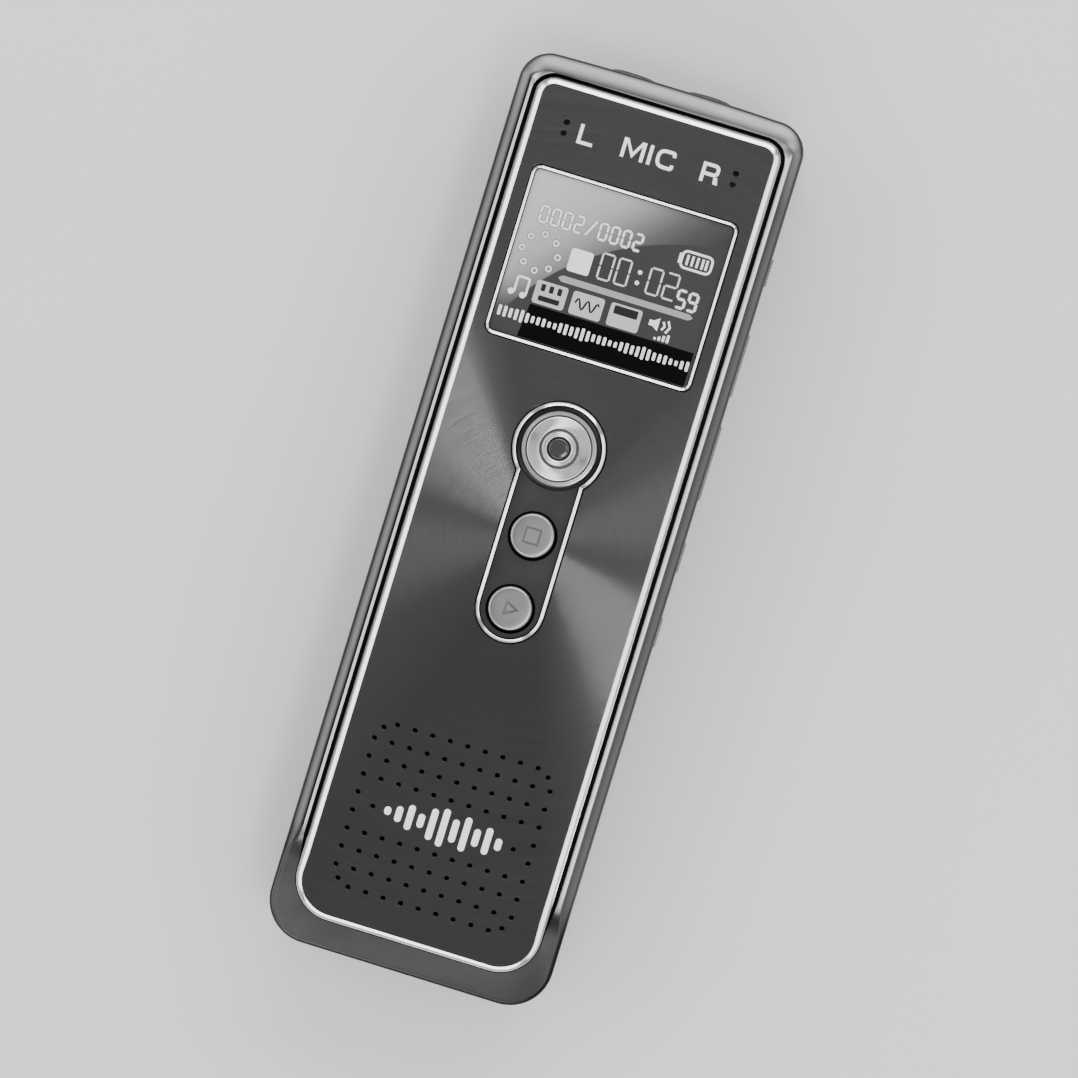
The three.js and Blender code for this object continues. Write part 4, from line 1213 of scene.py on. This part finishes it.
def build_record_button():
    low, top = record_low.z, record_high.z
    hole, hole_floor = 1.15, 10.6
    steps_down = [
        (RECORD_RADIUS, 0.72), (4.07, 0.62), (4.0, 0.55), (3.92, 0.53), (3.78, 0.52), (3.72, 0.58),
        (3.66, 0.52), (3.56, 0.51), (3.53, 0.62), (3.38, 0.62), (3.37, 0.16), (3.35, 0.09), (3.29, 0.05),
        (3.2, 0.05), (2.7, 0.055), (2.2, 0.06), (2.13, 0.08), (2.11, 0.17), (1.88, 0.17), (1.85, 0.14),
        (1.78, 0.05), (1.66, 0.0), (1.45, 0.0), (1.32, 0.06), (1.24, 0.16),
    ]
    profile = [(0, low), (RECORD_FLANGE, low), (RECORD_FLANGE, DECK_TOP), (RECORD_RADIUS, DECK_TOP)]
    profile += [(radius, top - down) for radius, down in steps_down]
    profile += [(hole + 0.03, top - 0.3), (hole + 0.03, hole_floor), (0, hole_floor)]

    def material_at(face):
        middle = face.calc_center_median()
        radius = math.hypot(middle.x, middle.y - RECORD_Y)
        # Painted shade: the grooves, the outer edge with the flange and the hole round the dot take the dark
        # metal.
        in_painted_shade = 1.87 < radius < 2.13 or 3.36 < radius < 3.53 or radius > 3.95 or radius < 1.24
        return 2 if in_painted_shade else radius > 3.45

    piece("record_cap", sorted_faces(turned(0, RECORD_Y, profile, 96), material_at),
          [TURNED, TURNED_DARK, TURNED_SHADE], "record_key", ["record_button"],
          sharp=math.radians(18))
    dot_low, dot_high = box_mm("record_button_insert")
    high = dot_high.z
    dome = [(0, dot_low.z), (hole, dot_low.z), (hole, high - 0.22), (hole - 0.05, high - 0.15),
            (hole - 0.2, high - 0.08), (hole - 0.5, high - 0.03), (hole - 0.8, high - 0.005), (0, high)]
    piece("record_dot", turned(0, RECORD_Y, dome, 48), [GLOSS_BLACK], "record_key",
          ["record_button_insert"])


def square_ring(offset):
    return rounded_rectangle(-0.05, STOP_Y - 0.05, 0.8 + offset, 0.8 + offset, 0.12, 3)


def triangle_ring(offset):
    """Triangle that points right, with its sides moved out by offset."""
    return circle(-0.12, PLAY_Y, 0.8 + 2 * offset, 3)


def engraving(outline_at, top):
    """Closed channel along an outline, to be cut into a cap."""
    half, depth = 0.14, 0.1
    return sorted_faces(railed(outline_at, [
        (half, top + 0.1), (half, top - depth * 0.6), (0, top - depth), (-half, top - depth * 0.6),
        (-half, top + 0.1),
    ]), lambda face: 1)


def build_caps():
    r = CAP_RADIUS
    for name, y, mark in (("stop", STOP_Y, square_ring), ("play", PLAY_Y, triangle_ring)):
        low, high = box_mm(f"{name}_button")
        top = high.z
        profile = [
            (0, low.z), (CAP_FLANGE, low.z), (CAP_FLANGE, DECK_TOP), (r, DECK_TOP), (r, top - 0.42),
            (r - 0.02, top - 0.3), (r - 0.07, top - 0.18), (r - 0.16, top - 0.08), (r - 0.28, top - 0.03),
            (r - 0.45, top - 0.012), (r - 0.8, top - 0.006), (r - 1.6, top - 0.002), (0, top),
        ]
        # The caps' sides below the rim take the black painted shade, in the gap round each cap.
        cap = sorted_faces(turned(0, y, profile, 72),
                           lambda face: 2 * (face.calc_center_median().z < top - 0.4))
        piece(f"{name}_cap", cap, [SATIN_CAP, ENGRAVED, PAINTED_SHADE_BLACK], f"{name}_key",
              [f"{name}_button"], carve=engraving(mark, top - 0.01))


# ---- Side controls

def build_side_buttons():
    edge = 0.22
    for i, node in enumerate(SIDE_BUTTONS, start=1):
        low, high = box_mm(node)
        flange_top = low.x + 0.45
        stations = grown((low.y, high.y, low.z, high.z), [(low.x, 0, 0.4), (flange_top, 0, 0.4)])
        rows = [(flange_top, 0, 0.55)]
        rows += [(high.x - drop, -shrink, 0.55 - shrink * 0.5) for shrink, drop in rounding(edge, 5)]
        stations += grown(on_side(*cap_span(node), BUTTON_HALF_HEIGHT), rows)
        piece(f"side_cap_{i}", bar(stations), [SATIN_DARK], f"side_key_{i}", [node])


def build_slide_knob():
    low, high = box_mm("slide_knob")
    middle, foot, neck_top, top = centre_mm("slide_knob")[1], low.x + 0.45, 15.2, high.x
    stations = grown(on_side(middle - 1.1, middle + 1.1, 1.3), [(low.x, 0, 0.2), (foot, 0, 0.2)])
    stations += grown(on_side(middle - 0.8, middle + 0.8, 0.6), [(foot, 0, 0.15), (neck_top, 0, 0.15)])
    stations += grown(on_side(low.y, high.y, 1.2), [
        (neck_top, 0, 0.45), (top - 0.12, 0, 0.45), (top - 0.04, -0.04, 0.42), (top, -0.12, 0.36),
    ])
    grooves = [
        bar([(top + 0.2, *on_side(middle + step - 0.22, middle + step + 0.22, 1.6), 0.01),
             (top - 0.14, *on_side(middle + step - 0.05, middle + step + 0.05, 1.6), 0.01)], 1)
        for step in (-0.8, -0.4, 0.0, 0.4, 0.8)
    ]
    piece("slide_grip", bar(stations), [SATIN_DARK], "slide_key", ["slide_knob"],
          carve=joined(*grooves))


# ---- Sockets

def build_jacks():
    bore, body_front, edge = 1.8, 46.9, 0.45
    for node in JACKS:
        low, high = box_mm(node)
        x, _, z = centre_mm(node)
        radius, back, front = (high.x - low.x) / 2, low.y, high.y
        barrel = [(bore, back), (radius, back), (radius, body_front)]
        barrel += [(radius - inset, front - drop) for inset, drop in rounding(edge, 6)]
        barrel += [(bore + 0.22, front), (bore + 0.06, front - 0.05), (bore, front - 0.2)]
        sleeve = [(bore - 0.16, back + 0.5), (bore - 0.02, back + 0.5), (bore - 0.02, front - 1.0),
                  (bore - 0.16, front - 1.1)]
        shapes = [laid(railed(lambda r, steps=steps: circle(0, 0, r, steps), profile), x, z)
                  for profile, steps in ((barrel, 56), (sleeve, 40))]
        socket = piece(f"{node}_barrel", shapes[0], [BLACK], "body", [node])
        piece(f"{node}_sleeve", shapes[1], [STEEL], "body").parent = socket


def build_usb():
    low, high = socket_low, socket_high
    wall = 0.3

    def loop(inset, y):
        flat = rounded_rectangle(0, (low.z + high.z) / 2, high.x - inset, (high.z - low.z) / 2 - inset,
                                 0.55 - inset * 0.8)
        return [(x, y, z) for x, z in flat]

    piece("usb_shell", lofted([
        loop(0, high.y), loop(0, low.y + 0.06), loop(0.05, low.y), loop(wall - 0.06, low.y),
        loop(wall, low.y + 0.08), loop(wall, high.y - wall),
    ]), [STEEL], "body", ["usb_socket"])
    tongue_low, tongue_high = box_mm("usb_tongue")
    under, half = tongue_low.z, 0.16
    contacts = [bar(grown((x - half, x + half, under - 0.04, under + 0.02),
                          [(tongue_low.y + 0.1, 0, 0.02), (tongue_high.y, 0, 0.02)]), 2, along="y")
                for x in (-1.3 + 0.65 * i for i in range(5))]
    piece("usb_contacts", joined(*contacts), [STEEL], "body")


# ---- Carried-over CAD pieces

def dress_cad_nodes():
    """Every CAD node that stays shown takes a finish of its own."""
    looks = {node: look for look, *nodes in INNER_LOOKS for node in nodes}
    for name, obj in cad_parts.items():
        if not obj.hide_render:
            obj.data.materials.clear()
            obj.data.materials.append(looks.get(name, STEEL))


# ---- Floor, lights and camera

def build_stage():
    """Paper floor, a hair under the recorder's back."""
    bm = bmesh.new()
    bmesh.ops.create_grid(bm, x_segments=8, y_segments=8, size=1.6)
    mesh = bpy.data.meshes.new("floor")
    bm.to_mesh(mesh)
    bm.free()
    floor = new_object("floor", mesh)
    floor.location.z = -0.0002
    s = Surface("floor_paper", Roughness=0.9)
    mesh.materials.append(s.finished(s.mix(s.noise(0.02), grey(0.72), grey(0.76))))


def area_light(name, azimuth, off_axis, distance, width, height, radiance):
    """Soft panel light aimed at the object. Azimuth turns from +X to +Y; off_axis is from straight up."""
    light = bpy.data.lights.new(name, "AREA")
    light.shape = "RECTANGLE"
    light.size, light.size_y = width, height
    light.energy = radiance * math.pi * width * height
    obj = new_object(name, light)
    a, e = math.radians(azimuth), math.radians(off_axis)
    obj.location = Vector((math.cos(a) * math.sin(e), math.sin(a) * math.sin(e), math.cos(e))) * distance
    obj.rotation_mode = "QUATERNION"
    obj.rotation_quaternion = obj.location.to_track_quat("Z", "Y")
    obj.visible_camera = False


def build_lights():
    world = bpy.data.worlds.new("studio")
    bpy.context.scene.world = world
    world.use_nodes = True
    background = world.node_tree.nodes["Background"]
    background.inputs["Color"].default_value = (1, 1, 1, 1)
    background.inputs["Strength"].default_value = 0.36
    for name, azimuth, radiance in (("right", 0, 2.2), ("top", 90, 5.0), ("left", 180, 3.0),
                                    ("bottom", 270, 3.8)):
        area_light(name, azimuth, 60, 0.7, 0.95, 0.375, radiance)
    area_light("key", -35.5, 25, 0.8, 0.25, 0.17, 13.0)
    area_light("fill", 27, 26, 0.8, 0.2, 0.17, 2.2)


def build_camera():
    tilt = math.radians(1.5)          # to the right and to the top end alike
    turn = math.radians(17.05)        # how far the recorder leans to the right in the view
    distance = 0.45
    shown_width = 114.15 * MM         # the width of the view at the recorder's face
    target = Vector((0.71, -0.70, 9.0)) * MM
    back = Vector((math.tan(tilt), math.tan(tilt), 1)).normalized()
    up = Vector((-math.sin(turn), math.cos(turn), 0))
    right = up.cross(back).normalized()
    up = back.cross(right)
    camera = bpy.data.cameras.new("camera")
    camera.sensor_width = 36
    camera.lens = camera.sensor_width * distance / shown_width
    camera.clip_start, camera.clip_end = 0.01, 10
    obj = new_object("camera", camera)
    matrix = obj.matrix_world.to_3x3()
    matrix.col[0], matrix.col[1], matrix.col[2] = right, up, back
    obj.matrix_world = matrix.to_4x4()
    obj.location = target + back * distance
    bpy.context.scene.camera = obj


# ---- The recorder

for build in (
        build_frame, build_cover, build_screws, build_panel, build_labels, build_grille_mark, build_display,
        build_display_picture, build_keypad, build_record_button, build_caps, build_side_buttons,
        build_slide_knob, build_jacks, build_usb, dress_cad_nodes, build_stage, build_lights, build_camera):
    build()
